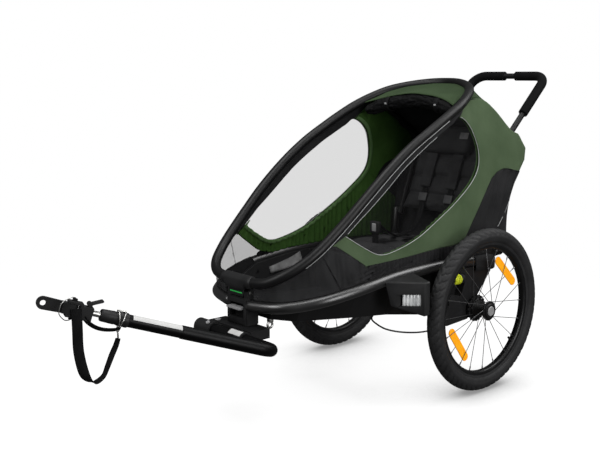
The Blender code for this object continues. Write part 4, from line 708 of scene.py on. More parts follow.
# Pieces
def piece(name, shape, look, body, slot, *nodes, sharp=40, sign=1):
    """Makes a piece of a left or middle shape, mirrored by a negative sign, and puts it on its body."""
    if sign < 0:
        bmesh.ops.scale(shape, vec=(-1, 1, 1), verts=shape.verts)
    bmesh.ops.recalc_face_normals(shape, faces=shape.faces)
    mesh = bpy.data.meshes.new(name)
    shape.to_mesh(mesh)
    shape.free()
    mesh.transform(Matrix.Translation((0, AXLE_Y, 0)))
    mesh.shade_smooth()
    mesh.set_sharp_from_angle(angle=math.radians(sharp))
    mesh.materials.append(LOOKS[look])
    made = bpy.data.objects.new(name, mesh)
    bpy.context.scene.collection.objects.link(made)
    place(made, body)
    if nodes:
        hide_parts(*nodes)
    return made


def place(made, body):
    """Rides on a body; cloth and straps that cross a joint are kept in place on no body."""
    shift = Vector((0, AXLE_Y, 0))
    if body == "fabric":
        low, high = FABRIC_BEND
        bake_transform(made)
    elif body == "harness":
        low, high = HARNESS_BEND
        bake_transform(made)
    elif body == "strap":
        start, end = (Vector(point) + shift for point in (STRAP[1], STRAP[-1]))
        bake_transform(made)
    elif body == "return_strap":
        start, end = (on_arm(*point) + shift for point in (RETURN_STRAP[0], RETURN_STRAP[-1]))
        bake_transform(made)
    else:
        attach(made, body)


def welded(node):
    """A CAD node, and a copy of its mesh with the facets' corners joined."""
    source = frame["nodes"][node]
    shape = bmesh.new()
    shape.from_mesh(source.data)
    bmesh.ops.remove_doubles(shape, verts=shape.verts, dist=WELD_REACH)
    return source, shape


def dressed(node, look, edge, angle=32, segments=2):
    """A copy of a CAD node with its facets welded and its edges rounded."""
    source, shape = welded(node)
    bmesh.ops.dissolve_limit(shape, angle_limit=FLAT_ANGLE, verts=shape.verts, edges=shape.edges)
    bmesh.ops.translate(shape, vec=(0, -AXLE_Y, 0), verts=shape.verts)
    slot = source.data.materials[0].name.split(".")[0]
    made = piece(node + "_dressed", shape, look, source["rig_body"], slot, node, sharp=angle)
    bevel = made.modifiers.new("edges", "BEVEL")
    bevel.width = edge
    bevel.segments = segments
    bevel.limit_method = "ANGLE"
    bevel.angle_limit = math.radians(angle)
    bevel.harden_normals = True
    bevel.use_clamp_overlap = True
    return made


def cloth(
    name, shape, look, body, slot, *nodes, held="stretched", rests_on=(), thickness=FABRIC, sign=1
):
    """A sheet of cloth with a little thickness, whose flat size is worked out from its shape."""
    area = sum(face.calc_area() for face in shape.faces)
    made = piece(name, shape, look, body, slot, *nodes, sharp=80, sign=sign)
    solid = made.modifiers.new("thickness", "SOLIDIFY")
    solid.thickness = thickness
    solid.offset = 0
    low, high = (Vector(corner) for corner in (made.bound_box[0], made.bound_box[6]))
    sides = sorted(high - low)
    width, length = sides[1], sides[2]
    if not LEAST_FILL * width * length <= area <= width * length:
        length = area / width * FLAT_MARGIN
    return made


# Camera, light and floor
def make_stage():
    camera = bpy.data.objects.new("camera", bpy.data.cameras.new("camera"))
    bpy.context.scene.collection.objects.link(camera)
    camera.location = Vector(CAMERA_PLACE) + Vector((0, AXLE_Y, 0))
    camera.rotation_mode = "QUATERNION"
    camera.rotation_quaternion = (-Vector(CAMERA_BACK)).to_track_quat("-Z", "Y")
    camera.data.lens = CAMERA_LENS
    camera.data.sensor_width = CAMERA_SENSOR
    camera.data.clip_end = 100
    bpy.context.scene.camera = camera
    bpy.context.scene.view_settings.view_transform = "Standard"
    make_world()
    make_floor()
    for name, at, aim, size, power in LIGHTS:
        lamp = bpy.data.lights.new(name, "AREA")
        lamp.shape = "RECTANGLE"
        lamp.size, lamp.size_y = size
        lamp.energy = power
        lamp_object = bpy.data.objects.new(name, lamp)
        lamp_object.location = at
        lamp_object.rotation_mode = "QUATERNION"
        lamp_object.rotation_quaternion = (Vector(aim) - Vector(at)).to_track_quat("-Z", "Y")
        bpy.context.scene.collection.objects.link(lamp_object)


def make_world():
    """White to the eye and through glass, dimmer in reflections, and a plain fill for all else."""
    world = bpy.data.worlds.new("studio")
    world.use_nodes = True
    bpy.context.scene.world = world
    tree = world.node_tree
    background = tree.nodes["Background"].inputs
    background["Color"].default_value = (1, 1, 1, 1)
    rays = add_node(tree, "LightPath").outputs
    unseen = add_node(tree, "MapRange", rays["Is Glossy Ray"], To_Min=FILL, To_Max=GLOSSY_FILL)
    eye, glass = rays["Is Camera Ray"], rays["Is Transmission Ray"]
    seen = add_node(tree, "Math", eye, glass, operation="MAXIMUM")
    levels = {"To_Min": unseen.outputs["Result"], "To_Max": 1.0}
    strength = add_node(tree, "MapRange", seen.outputs["Value"], **levels)
    tree.links.new(strength.outputs["Result"], background["Strength"])


def make_floor():
    """A pale disc whose glow is dimmed round the wheels as painted shade, and fades into the white round
    it.
    """
    shape = bmesh.new()
    bmesh.ops.create_circle(shape, cap_ends=True, radius=FLOOR_RADIUS, segments=96)
    mesh = bpy.data.meshes.new("floor")
    shape.to_mesh(mesh)
    shape.free()
    floor = bpy.data.objects.new("floor", mesh)
    bpy.context.scene.collection.objects.link(floor)
    floor.location = (0, 0, -FLOOR_DROP)
    floor.visible_glossy = False
    floor.visible_diffuse = False
    material = bpy.data.materials.new("floor")
    material.use_nodes = True
    tree = material.node_tree
    tree.nodes.clear()
    easing = {"interpolation_type": "SMOOTHSTEP"}
    # Ambient occlusion sets how strongly the floor glows: painted shade near the wheels.
    near = add_node(tree, "AmbientOcclusion", samples=16, Distance=SHADE_REACH).outputs["AO"]
    low, high = SHADE_LEVELS
    shade = add_node(tree, "MapRange", near, From_Min=SHADE_START, To_Min=low, To_Max=high, **easing)
    matte = add_node(tree, "BsdfDiffuse", Color=(FLOOR_GREY, FLOOR_GREY, FLOOR_GREY, 1))
    glow = add_node(tree, "Emission", Strength=shade.outputs["Result"])
    both = add_node(tree, "AddShader", matte.outputs["BSDF"], glow.outputs["Emission"])
    place_on_floor = add_node(tree, "TexCoord").outputs["Object"]
    reach = add_node(tree, "VectorMath", place_on_floor, operation="LENGTH").outputs["Value"]
    start, end = FLOOR_FADE
    share = add_node(tree, "MapRange", reach, From_Min=start, From_Max=end, **easing).outputs["Result"]
    clear = add_node(tree, "BsdfTransparent").outputs["BSDF"]
    fade = add_node(tree, "MixShader", share, both.outputs["Shader"], clear)
    add_node(tree, "OutputMaterial", fade.outputs["Shader"])
    mesh.materials.append(material)
    floor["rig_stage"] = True


# Straps and cables
def make_strap():
    path = smooth(STRAP, 6)
    twist = smooth([(math.radians(angle), 0, 0) for angle in STRAP_TWIST], 6)
    level = Vector((ARM_BACK.x, ARM_BACK.y, 0)).normalized()
    flats = [Matrix.Rotation(turn.x, 3, "Z") @ level for turn in twist]
    shape = ribbon(path, flats, STRAP_WIDTH, STRAP_THICKNESS)
    strap = piece("strap", shape, "webbing", "strap", "black_webbing", "safety_strap")
    declare_cord(strap, path, STRAP_WIDTH, "limp")
    path = smooth([on_arm(*point) for point in RETURN_STRAP], 6)
    flat = (ARM_UP + ARM_SIDE).normalized()
    shape = ribbon(path, [flat] * len(path), RETURN_WIDTH, RETURN_THICKNESS)
    strap = piece("return_strap", shape, "webbing", "return_strap", "black_webbing")
    declare_cord(strap, path, RETURN_WIDTH, "limp")


def make_cables():
    """The brake cables, which sag from the tub to the wheel brackets."""
    for hand, sign in HANDS:
        path = [*smooth(CABLE[:-1], 5), Vector(CABLE[-1])]
        path = [Vector((sign * point.x, point.y, point.z)) for point in path]
        shape = tube(path, CABLE_RADIUS, 12)
        cable = piece("cable_" + hand, shape, "sheath", "chassis", "cable_sheath", "brake_cable_" + hand)
        declare_cord(cable, path, 2 * CABLE_RADIUS, "stiff")


def declare_cord(made, path, width, stiffness):
    route = [point + Vector((0, AXLE_Y, 0)) for point in path]


# Frame tubes
def make_frame():
    lower = tube(smooth(mirrored(LOWER_TUBE), 8), TUBE_RADIUS, 28)
    for _, sign in HANDS:
        foot, top = ((sign * REAR_POST_X, *point) for point in REAR_POST)
        capped(foot, top, REAR_POST_RADIUS, 0.002, 20, lower)
    piece("lower_frame", lower, "gloss", "chassis", "gloss_black_paint", "lower_frame_tube")
    hoop = tube(smooth(mirrored((HOOP_FRONT, *HOOP)), 6), HOOP_RADIUS, 28)
    for _, sign in HANDS:
        rail = [(sign * RAIL_X, *RAIL_FRONT), (sign * RAIL_X, *HANDLE_PIVOT)]
        tube(rail, RAIL_RADIUS, 20, hoop)
        inner, outer = ((sign * x, *HANDLE_PIVOT) for x in RAIL_DISC)
        capped(inner, outer, RAIL_DISC_RADIUS, DISC_EDGE, 32, hoop)
    piece("hoop", hoop, "satin", "upper_frame", "satin_black_paint", "hoop_frame")
    side = (HANDLE_HALF_WIDTH, *HANDLE_PIVOT)
    corner = (HANDLE_HALF_WIDTH, *HANDLE_BAR)
    path = rounded_path((side, corner, *[(-x, y, z) for x, y, z in (corner, side)]), HANDLE_BEND)
    bar = tube(path, HANDLE_RADIUS, 24)
    for _, sign in HANDS:
        inner, outer = ((sign * x, *HANDLE_PIVOT) for x in HANDLE_DISC)
        capped(inner, outer, HANDLE_DISC_RADIUS, DISC_EDGE, 32, bar)
    piece("handlebar", bar, "satin", "handlebar", "satin_black_paint", "handlebar_tube")
    inner_end = length_of(path) / 2 - GRIP_GAP
    for hand, sign in HANDS:
        run = stretch_of(path, inner_end - GRIP_LENGTH, inner_end)
        ends = [run[0].lerp(run[1], 0.02), run[-1].lerp(run[-2], 0.02)]
        route = [run[0], ends[0], *run[1:-1], ends[1], run[-1]]
        radii = [GRIP_END_RADIUS, *[GRIP_RADIUS] * (len(route) - 2), GRIP_END_RADIUS]
        shape = tube(route, radii, 28)
        piece("foam_grip_" + hand, shape, "foam", "handlebar", "grip_foam", "grip_" + hand, sign=sign)


def make_tow_arm():
    inner = Vector((ARM_INNER_END_X, *ARM_ELBOW.yz))
    path = rounded_path((inner, ARM_ELBOW, on_arm(ARM_FRONT_END)), ARM_BEND, 20)
    piece("tow_arm", tube(path, ARM_RADIUS, 32), "arm", "tow_arm", "gloss_black_paint", "tow_arm_tube")
    front = tube([on_arm(back) for back in FRONT_TUBE], ARM_FRONT_RADIUS, 32)
    piece("tow_arm_front", front, "arm", "tow_arm", "gloss_black_paint", "tow_arm_front_tube")
    stations, radii = zip(*SOCKET_PROFILE)
    socket = tube([on_arm(back) for back in stations], radii, 32)
    piece("socket", socket, "plastic", "tow_arm", "matte_black_plastic", "hitch_socket")
    ends = [on_arm(back) for back in ARM_STRIP]
    strip = bar_patch(*ends, ARM_UP, ARM_SIDE, ARM_STRIP_RADIUS, ARM_STRIP_ANGLES)
    piece("tow_arm_strip", strip, "label", "tow_arm", "pale_grey_plastic")
    make_hook()


def bar_patch(start, end, up, side, radius, angles, steps=12):
    """A strip wrapped part way round a bar, between two angles from its upper side."""
    rows = []
    for step in range(steps + 1):
        turn = math.radians(angles[0] + (angles[1] - angles[0]) * step / steps)
        ray = (up * math.cos(turn) + side * math.sin(turn)) * radius
        rows.append([start + ray, start.lerp(end, 0.5) + ray, end + ray])
    return sheet_of(rows)


def make_hook():
    """Two wire bails round the socket that meet in a swivel under it, with their gate on top."""
    shape = bmesh.new()
    middle, radius = 0.185, 0.02
    for lean in (-0.0085, 0.0085):
        ring = []
        for turn in turns(48):
            back = middle + lean * (1 + math.cos(turn)) / 2
            ring.append(on_arm(back, radius * math.cos(turn), radius * math.sin(turn)))
        tube(ring, 0.0013, 10, shape, loop=True)
    capped(on_arm(middle - 0.012, radius), on_arm(middle + 0.012, radius), 0.0022, 0.0006, 16, shape)
    foot = on_arm(middle, -radius)
    end = Vector(STRAP[-1])
    capped(foot, foot.lerp(end, 0.45), 0.0032, 0.0008, 16, shape)
    capped(foot.lerp(end, 0.45), end, 0.0022, 0.0006, 16, shape)
    piece("hook", shape, "steel", "tow_arm", "zinc_steel", "snap_hook")


# Wheels
def tread_depth(turn, lean):
    """How deep the tyre is cut at an angle round the wheel and a lean from its crown."""
    side = abs(lean)
    stagger = 0.5 if lean > 0 else 0.0
    phase = (turn * TREAD_BLOCKS / (2 * math.pi) + side * TREAD_SLANT + stagger) % 1
    start, end = TREAD_SPAN
    if start < side < end and phase < TREAD_CUT:
        return TREAD_DEPTH
    return GROOVE_DEPTH if any(low < side < high for low, high in GROOVES) else 0.0


def make_tyre(hand, sign):
    rings = []
    for turn in turns(TYRE_SEGMENTS):
        ring = []
        for around in turns(TYRE_SIDES):
            lean = around - math.pi
            radius = TYRE_MINOR - tread_depth(turn, lean)
            middle = Vector((WHEEL_X + radius * math.sin(lean), 0, AXLE_Z))
            ring.append(middle + ray_of(turn) * (TYRE_MAJOR + radius * math.cos(lean)))
        rings.append(ring)
    shape = skin(rings, loop=True)
    lathe(BEAD_PROFILE, (WHEEL_X, 0, AXLE_Z), WHEEL_SEGMENTS, shape)
    name = "tyre_treaded_" + hand
    piece(name, shape, "rubber", "wheel_" + hand, "tyre_rubber", "tyre_" + hand, sign=sign)


def make_wheel(hand, sign):
    body = "wheel_" + hand
    centre = Vector((WHEEL_X, 0, AXLE_Z))
    make_tyre(hand, sign)
    rim = lathe(RIM_PROFILE, centre, WHEEL_SEGMENTS)
    piece("rim_turned_" + hand, rim, "rim", body, "rim_black", "rim_" + hand, sign=sign)
    tip, foot = VALVE
    valve = capped(tip, tip.lerp(foot, 0.55), 0.0036, 0.0008, 16)
    capped(tip.lerp(foot, 0.5), foot, 0.0029, 0.0005, 16, valve)
    piece("valve_" + hand, valve, "sheath", body, "cable_sheath", sign=sign)
    make_hub(hand, sign, centre, body)
    dressed("brake_ring_" + hand, "hub", 0.0006)
    dressed("release_cap_" + hand, "silver", 0.001)
    for level in ("upper", "lower"):
        dressed(f"wheel_reflector_{level}_{hand}", "amber", 0.0015, segments=3)


def make_hub(hand, sign, centre, body):
    shell = lathe(HUB_PROFILE, centre, 48)
    piece("hub_shell_" + hand, shell, "hub", body, "hub_black", "hub_" + hand, sign=sign)
    spokes = bmesh.new()
    nipples = bmesh.new()
    tip = RIM_INNER - SPOKE_END_GAP
    stations, radii = zip(*NIPPLE)
    for flange, lean, phase in FLANGES:
        for index in range(SPOKES_PER_FLANGE):
            turn = 2 * math.pi / SPOKES_PER_FLANGE * (index + phase)
            root = turn + lean
            start = Vector((flange, SPOKE_ROOT * math.cos(root), SPOKE_ROOT * math.sin(root)))
            end = Vector((0.05 * flange, tip * math.cos(turn), tip * math.sin(turn)))
            start, end = centre + start, centre + end
            run = (end - start).normalized()
            tube((start, end), SPOKE_RADIUS, 8, spokes)
            tube([end - run * station for station in stations], radii, 8, nipples)
    piece("spokes_" + hand, spokes, "spoke", body, "zinc_steel", sign=sign)
    piece("nipples_" + hand, nipples, "spoke", body, "zinc_steel", sign=sign)


def make_chassis():
    for node, look, edge in (
        ("front_block", "plastic", 0.0022),
        ("arm_receiver", "plastic", 0.0022),
        ("floor_tub", "tub", 0.002),
        ("release_lever", "pale", 0.002),
        ("brake_pedal", "plastic", 0.0018),
        ("fold_pin", "steel", 0.0006),
        ("hitch_knuckle", "plastic", 0.0014),
        ("hitch_eye", "plastic", 0.0014),
        ("hitch_pin", "bolt", 0.0008),
        ("hitch_shaft", "steel", 0.0006),
        ("wing_lever", "plastic", 0.001),
        ("keeper_ring", "steel", 0.0003),
        ("rear_strut_frame", "satin", 0.0004),
    ):
        dressed(node, look, edge)
    for hand, sign in HANDS:
        dressed("wheel_bracket_" + hand, "plastic", 0.002)
        dressed("trailing_arm_" + hand, "plastic", 0.0022)
        dressed("fender_" + hand, "plastic", 0.003, segments=3)
        make_lens(hand, sign)
        make_flap(hand, sign)
        make_elastomer(hand, sign)


def make_elastomer(hand, sign):
    """The lime discs, a dark core between them as painted shade of the grooves, and the cup that holds
    their rear end.
    """
    low, split, high = -0.0947, -0.064, -0.0483
    x, z = 0.2741, 0.347
    discs = 4
    pitch = (split - low) / discs
    # The dark core shows in the gaps between the discs: painted shade of the grooves.
    core = tube(((x, low, z), (x, split, z)), 0.0112, 24)
    core = piece("elastomer_core_" + hand, core, "sheath", "chassis", "matte_black_plastic", sign=sign)
    ribs = bmesh.new()
    for disc in range(discs):
        start = low + pitch * (disc + 0.22)
        capped((x, start, z), (x, start + pitch * 0.7, z), 0.0155, 0.0016, 32, ribs)
    node = "elastomer_" + hand
    ribs = piece("ribbed_" + node, ribs, "lime", "chassis", "lime_elastomer", node, sign=sign)
    cup = capped((x, split, z), (x, high, z), 0.015, 0.002, 28)
    cup = piece("elastomer_cup_" + hand, cup, "plastic", "chassis", "matte_black_plastic", sign=sign)
    for made in (core, ribs, cup):
        front = (sign * x, low + AXLE_Y, z)
        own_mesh(made)


def make_lens(hand, sign):
    """A wedge of ribbed lens that fills the pocket of the front corner."""
    inner, outer = Vector((0.288, -0.331)), Vector((0.3267, -0.291))
    rear_y = -0.2815
    levels = (0.3103, 0.3112, 0.327, 0.3428, 0.3437)
    columns, ribs, rib_depth = 64, 6, 0.001
    rings = []
    for z in levels:
        inset = rib_depth if z in (levels[0], levels[-1]) else 0.0
        ring = []
        for column in range(columns + 1):
            share = column / columns
            x, y = inner.lerp(outer, share)
            ring.append((x, y + inset + rib_depth * math.cos(2 * math.pi * ribs * share), z))
        rings.append([*ring, (outer.x, rear_y, z), (inner.x, rear_y, z)])
    shape = skin(rings, ends=BOTH_ENDS)
    nodes = ["front_reflector_" + hand]
    piece("front_lens_" + hand, shape, "clear", "chassis", "clear_lens", *nodes, sharp=60, sign=sign)


def draped(path, profile, side, fold, pitch):
    """A sheet along a path: each row is raised, and moved out to one side, with small folds."""
    rows = []
    for rise, reach in profile:
        row = []
        for before, point, after in zip(path, path[1:], path[2:]):
            run = after - before
            out = Vector((side * run.y, -side * run.x, 0)).normalized()
            lift = fold * gather(point.y - side * point.x, pitch)
            row.append(point + out * (reach + lift) + Vector((0, 0, rise)))
        rows.append(row)
    return sheet_of(rows)


def make_flap(hand, sign):
    """The end of the side's cloth, turned down over the lower tube behind the wheel bracket."""
    path = [point for point in smooth(LOWER_TUBE[7:12], 10) if point.y >= 0.002 and point.x > 0.12]
    profile = ((0.0175, 0.006), (0.012, 0.015), (0.0, 0.018), (-0.014, 0.0182), (-0.03, 0.0176))
    shape = draped(path, profile, 1, 0.0008, 0.022)
    on_tube = {"rests_on": ["lower_frame"], "sign": sign}
    cloth("rear_flap_" + hand, shape, "black_cloth", "chassis", "cover_fabric", **on_tube)


def level_section(z, half, front, rear, rounding, steps=8):
    """A level rectangle with rounded corners."""
    section = []
    for x, y, start in ((half, rear, 0), (-half, rear, 90), (-half, front, 180), (half, front, 270)):
        mid_x = x - math.copysign(rounding, x)
        mid_y = y - rounding if y == rear else y + rounding
        for step in range(steps + 1):
            turn = math.radians(start + 90 * step / steps)
            section.append((mid_x + rounding * math.cos(turn), mid_y + rounding * math.sin(turn), z))
    return section


def make_clamp():
    """The sleeve and saddle that carry the hoop on the front block, and the lug for the fold pin."""
    half = [point for point in smooth((HOOP_FRONT, *HOOP[:4]), 8) if point.x <= CLAMP_REACH]
    route = crossed(half[1:]) + half
    radius = HOOP_RADIUS + 0.0042
    ends = [radius - 0.002, radius - 0.0004]
    radii = [*ends, *[radius] * (len(route) - 4), *reversed(ends)]
    shape = tube(route, radii, 36)
    skin([level_section(*section, SADDLE_ROUNDING) for section in SADDLE], shape, ends=BOTH_ENDS)
    piece("hoop_saddle", shape, "plastic", "upper_frame", "matte_black_plastic", "hoop_clamp")
    lug = plain_box((-0.029, -0.7004, 0.3478), (0.029, -0.678, 0.3735), 0.0025)
    piece("clamp_lug", lug, "plastic", "upper_frame", "matte_black_plastic")
    bar = plain_box((-0.0265, -0.7014, 0.3575), (0.0265, -0.6995, 0.3612), 0.0005)
    piece("latch_indicator", bar, "indicator", "upper_frame", "matte_black_plastic")


def make_front_details():
    """Bolts and a pale strip on the arm receiver, the tie-down eye, and the tub's patch and liner."""
    upright = (-0.067, -0.715)
    bolts = capped((*upright, 0.2675), (*upright, 0.2712), 0.009, 0.0014, 28)
    capped((*upright, 0.2705), (*upright, 0.2725), 0.0045, 0.0006, 6, bolts)
    capped((-0.064, -0.751, 0.265), (-0.064, -0.7535, 0.2695), 0.0062, 0.001, 28, bolts)
    piece("receiver_bolts", bolts, "pale", "chassis", "zinc_steel")
    axis = Vector((0, *ARM_ELBOW.yz))
    ends = [axis + Vector((x, 0, 0)) for x in (0.036, 0.088)]
    strip = bar_patch(*ends, Vector((0, 0, 1)), Vector((0, -1, 0)), 0.0236, (8, 52))
    piece("receiver_strip", strip, "label", "chassis", "pale_grey_plastic")
    eye = plain_box((0.07, -0.648, 0.277), (0.086, -0.636, 0.289), 0.001)
    radius = 0.0085
    ring = []
    for turn in turns(32):
        ring.append((0.078, -0.643 + radius * math.cos(turn), 0.269 + radius * math.sin(turn)))
    tube(ring, 0.0034, 12, eye, loop=True)
    piece("tie_down_eye", eye, "steel", "chassis", "zinc_steel")
    lower = (Vector((-0.213, -0.4, 0.3345)), Vector((-0.214, -0.262, 0.347)))
    upper = (Vector((-0.229, -0.4, 0.369)), Vector((-0.229, -0.262, 0.386)))
    rows = []
    for step in range(7):
        front, rear = (low.lerp(high, step / 6) for low, high in zip(lower, upper))
        rows.append([front.lerp(rear, column / 12) + Vector((0.0025, 0, 0)) for column in range(13)])
    cloth("tub_patch", sheet_of(rows), "grey_cloth", "chassis", "seat_fabric", rests_on=["floor_tub"])
    make_liner()


def make_liner():
    """Black cloth that wraps the lower tube's front loop from above and tucks into the tub."""
    half = [point for point in smooth(LOWER_TUBE[1:7], 8) if point.y <= -0.42]
    path = crossed(half) + [Vector((x, *half[0].yz)) for x in (-0.03, 0.0, 0.03)] + half
    profile = ((0.0172, -0.002), (0.015, 0.009), (0.004, 0.0175), (-0.01, 0.026), (-0.026, 0.04))
    shape = draped(path, profile, -1, 0.0012, 0.024)
    # The liner takes the cover's deeper black rather than the black cloth's: painted shade inside the
    # tub.
    cloth("tub_liner", shape, "cover", "chassis", "cover_fabric", rests_on=["lower_frame"])


# Fabric sides
def tube_height(y):
    side = [point for point in LOWER_TUBE if point[0] > 0.2]
    for front, rear in zip(side, side[1:]):
        if front[1] <= y <= rear[1]:
            return front[2] + (rear[2] - front[2]) * (y - front[1]) / (rear[1] - front[1])
    return side[0][2] if y < side[0][1] else side[-1][2]


def where(line, axis, value):
    """The point of a line where one coordinate reaches a value, or else the line's nearer end."""
    for first, second in zip(line, line[1:]):
        if first[axis] <= value <= second[axis]:
            return first.lerp(second, (value - first[axis]) / (second[axis] - first[axis]))
    return line[0] if value < line[0][axis] else line[-1]


def behind_hoop(y, z):
    """Distance of a point of the side behind the hoop's line."""
    point = Vector((y, z))
    reach = []
    for first, second in zip(HOOP_LINE, HOOP_LINE[1:]):
        span = second - first
        share = unit((point - first).dot(span) / span.length_squared)
        reach.append((point - first - span * share).length)
    return min(reach)


def side_x(y, z):
    """How far out the fabric side stands: on the hoop in front, then spreading behind it."""
    hoop_x = where(HOOP_SIDE, 1, y).x
    spread = 1 - math.exp(-behind_hoop(y, z) / SIDE_REACH)
    return hoop_x + 0.003 + max(SIDE_X - hoop_x, 0) * spread


def side_outline():
    offset = HOOP_RADIUS * 0.4
    front = []
    for before, point, after in zip(HOOP_LINE, HOOP_LINE[1:], HOOP_LINE[2:]):
        run = (after - before).normalized()
        front.append((point.x + offset * run.y, point.y - offset * run.x))
    top = [(row[-1].y, row[-1].z) for row in roof_rows()[2:]]
    foot = [(y, tube_height(y) + TUBE_RADIUS * 0.9) for y in SIDE_FOOT]
    return [*front, *top, *REAR_CORNER, *REAR[1:], *REAR_FOOT, *foot]


def ray_hit(outline, centre, angle):
    """Where a ray from the centre first leaves a closed outline."""
    ray = Vector((math.cos(angle), math.sin(angle)))
    reaches = []
    for first, second in zip(outline, outline[1:] + outline[:1]):
        first, second = Vector(first) - centre, Vector(second) - centre
        span = second - first
        determinant = ray.x * span.y - ray.y * span.x
        if abs(determinant) < 1e-12:
            continue
        along = (first.x * span.y - first.y * span.x) / determinant
        share = (first.x * ray.y - first.y * ray.x) / determinant
        if along > 0 and -1e-6 <= share <= 1 + 1e-6:
            reaches.append(along)
    return centre + ray * (min(reaches) if reaches else 0.0)


def wrinkle(y, z, seed):
    """A small swell of the cloth."""
    broad = noise.noise(Vector((y * 9, z * 9, seed)))
    fine = noise.noise(Vector((y * 30, z * 12, seed + 7)))
    return 0.0022 * broad + 0.0009 * fine


def gather(y, pitch):
    """Upright gathers along a seam, with an uneven pitch."""
    return math.sin(2 * math.pi * y / pitch + 1.5 * math.sin(y * 47))


def ring_sheet(starts, ends, steps, height, keep=lambda point: True):
    """A band between two outlines, open where they meet; height lifts the cloth at each point."""
    shape = bmesh.new()
    rings = []
    for step in range(steps + 1):
        points = [start.lerp(end, step / steps) for start, end in zip(starts, ends)]
        rings.append([shape.verts.new((side_x(*point) + height(*point), *point)) for point in points])
    for first, second in zip(rings, rings[1:]):
        for index, start in enumerate(starts):
            following = (index + 1) % len(starts)
            wide = max((starts[i] - ends[i]).length for i in (index, following))
            if wide > 0.0008 and keep(start.lerp(starts[following], 0.5)):
                shape.faces.new((first[index], first[following], second[following], second[index]))
    loose = [vert for vert in shape.verts if not vert.link_faces]
    bmesh.ops.delete(shape, geom=loose, context="VERTS")
    return shape


def angle_to(point, centre):
    return math.atan2(point[1] - centre.y, point[0] - centre.x) % (2 * math.pi)


class SideCut:
    """The outlines of one fabric side, all met by the same rays from the window's middle."""

    def __init__(self, drop):
        window = flat_smooth([(y, z - drop) for y, z in WINDOW], 8)
        outline = side_outline()
        lower = [(y, z - drop * unit(1 - y / 0.2)) for y, z in GREEN_LOWER]
        middle = Vector((-0.1, 0.75 - drop))
        rays = {*turns(360), *(angle_to(corner, middle) for corner in (*outline, *lower, *window))}
        self.angles = sorted({round(turn, 5) for turn in rays})
        self.middle = middle
        self.window = [ray_hit(window, middle, angle) for angle in self.angles]
        self.outer = [ray_hit(outline, middle, angle) for angle in self.angles]
        self.top = angle_to((WINDOW_TOP[0], WINDOW_TOP[1] - drop), middle)
        self.front = angle_to((WINDOW_FRONT[0], WINDOW_FRONT[1] - drop), middle)
        rear_z = lower[-1][1]
        closed = [*lower, (0.4, rear_z - 0.04), (0.4, 1.2), (-0.9, 1.2), (-0.9, lower[0][1]), lower[0]]
        seams = [ray_hit(closed, middle, angle) for angle in self.angles]
        self.green = []
        for angle, seam, inner, end in zip(self.angles, seams, self.window, self.outer):
            nearest = min((seam, end), key=lambda point: (point - middle).length)
            self.green.append(inner if self.along_hoop(angle) else nearest)

    def along_hoop(self, angle):
        return self.top < angle < self.front

    def pick(self, along_hoop, elsewhere):
        """One point of either outline for each ray, chosen by whether the ray meets the hoop."""
        picked = zip(self.angles, along_hoop, elsewhere)
        return [first if self.along_hoop(angle) else second for angle, first, second in picked]


def make_side(hand, sign):
    cut = SideCut(SIDE_DROP[hand])
    seed = 1.0 if sign > 0 else 5.0
    on_hoop = {"rests_on": ["hoop"], "sign": sign}
    on_tube = {"rests_on": ["lower_frame"], "sign": sign}

    def billow(y, z):
        return wrinkle(y, z, seed)

    def pleat(y, z):
        near_seam = math.exp(-abs(z - FOOT_SEAM_Z) / FOOT_SEAM_FADE)
        behind = unit((y - REAR_FOLD_START) / REAR_FOLD_FADE)
        slant = 2 * math.pi * (y - REAR_FOLD_SLANT * z) / REAR_FOLD_PITCH
        fold = PLEAT_DEPTH * math.sin(slant + 2 * wrinkle(y, z, seed) / REAR_FOLD_WANDER)
        gathered = PLEAT_DEPTH * gather(y, PLEAT_PITCH) * near_seam * (1 - behind)
        return wrinkle(y, z, seed) + gathered + fold * behind

    def inside(y, z):
        share = unit((LINING_FREE_Z - z) / LINING_FADE)
        return wrinkle(y, z, seed) - LINING_GAP + LINING_GATHER * gather(y, LINING_PITCH) * share

    def hemmed(y, z):
        return inside(y, z) - HEM_GAP

    panel = ring_sheet(cut.window, cut.green, 26, billow)
    cloth("side_panel_" + hand, panel, "green", "fabric", "green_fabric", "canopy_" + hand, **on_hoop)
    sleeve = ring_sheet(cut.window, cut.pick(cut.outer, cut.window), 8, billow)
    cloth("hoop_sleeve_" + hand, sleeve, "black_cloth", "fabric", "cover_fabric", **on_hoop)
    skirt_end = cut.pick(cut.green, cut.outer)
    for name, look, keep in (
        ("side_skirt_", "black_cloth", lambda point: point.x >= MESH_REAR_Y),
        ("front_mesh_", "mesh", lambda point: point.x < MESH_REAR_Y),
    ):
        skirt = ring_sheet(cut.green, skirt_end, 16, pleat, keep)
        cloth(name + hand, skirt, look, "fabric", "cover_fabric", **on_tube)
    # The side's inner face, in the darker copy of the green cloth: painted shade of the cabin.
    lining_end = []
    for green, outer in zip(cut.green, cut.outer):
        share = unit((green.x + 0.43) / 0.08) if green.x < 0.1 else 0
        lining_end.append(green.lerp(outer, share))
    lining = ring_sheet(cut.window, cut.pick(cut.window, lining_end), 26, inside)
    cloth("side_lining_" + hand, lining, "lining", "fabric", "green_fabric", **on_hoop)
    hem_end = [point + (point - cut.middle).normalized() * HEM_WIDTH for point in cut.window]
    hem = ring_sheet(cut.window, cut.pick(cut.window, hem_end), 3, hemmed)
    cloth("window_hem_" + hand, hem, "hem", "fabric", "green_fabric", **on_hoop)
    rings = []
    for share in (1.0, 0.85, 0.65, 0.45, 0.25, 0.08):
        points = [cut.middle + (point - cut.middle) * share for point in cut.window]
        rings.append([(side_x(*point) - FILM_INSET, *point) for point in points])
    film = skin(rings, ends=(-1,))
    thin = {"thickness": FILM, "sign": sign}
    cloth("window_film_" + hand, film, "film", "fabric", "window_mesh", "window_" + hand, **thin)
    make_piping(hand, sign, cut)
    make_front_skirt(hand, sign)


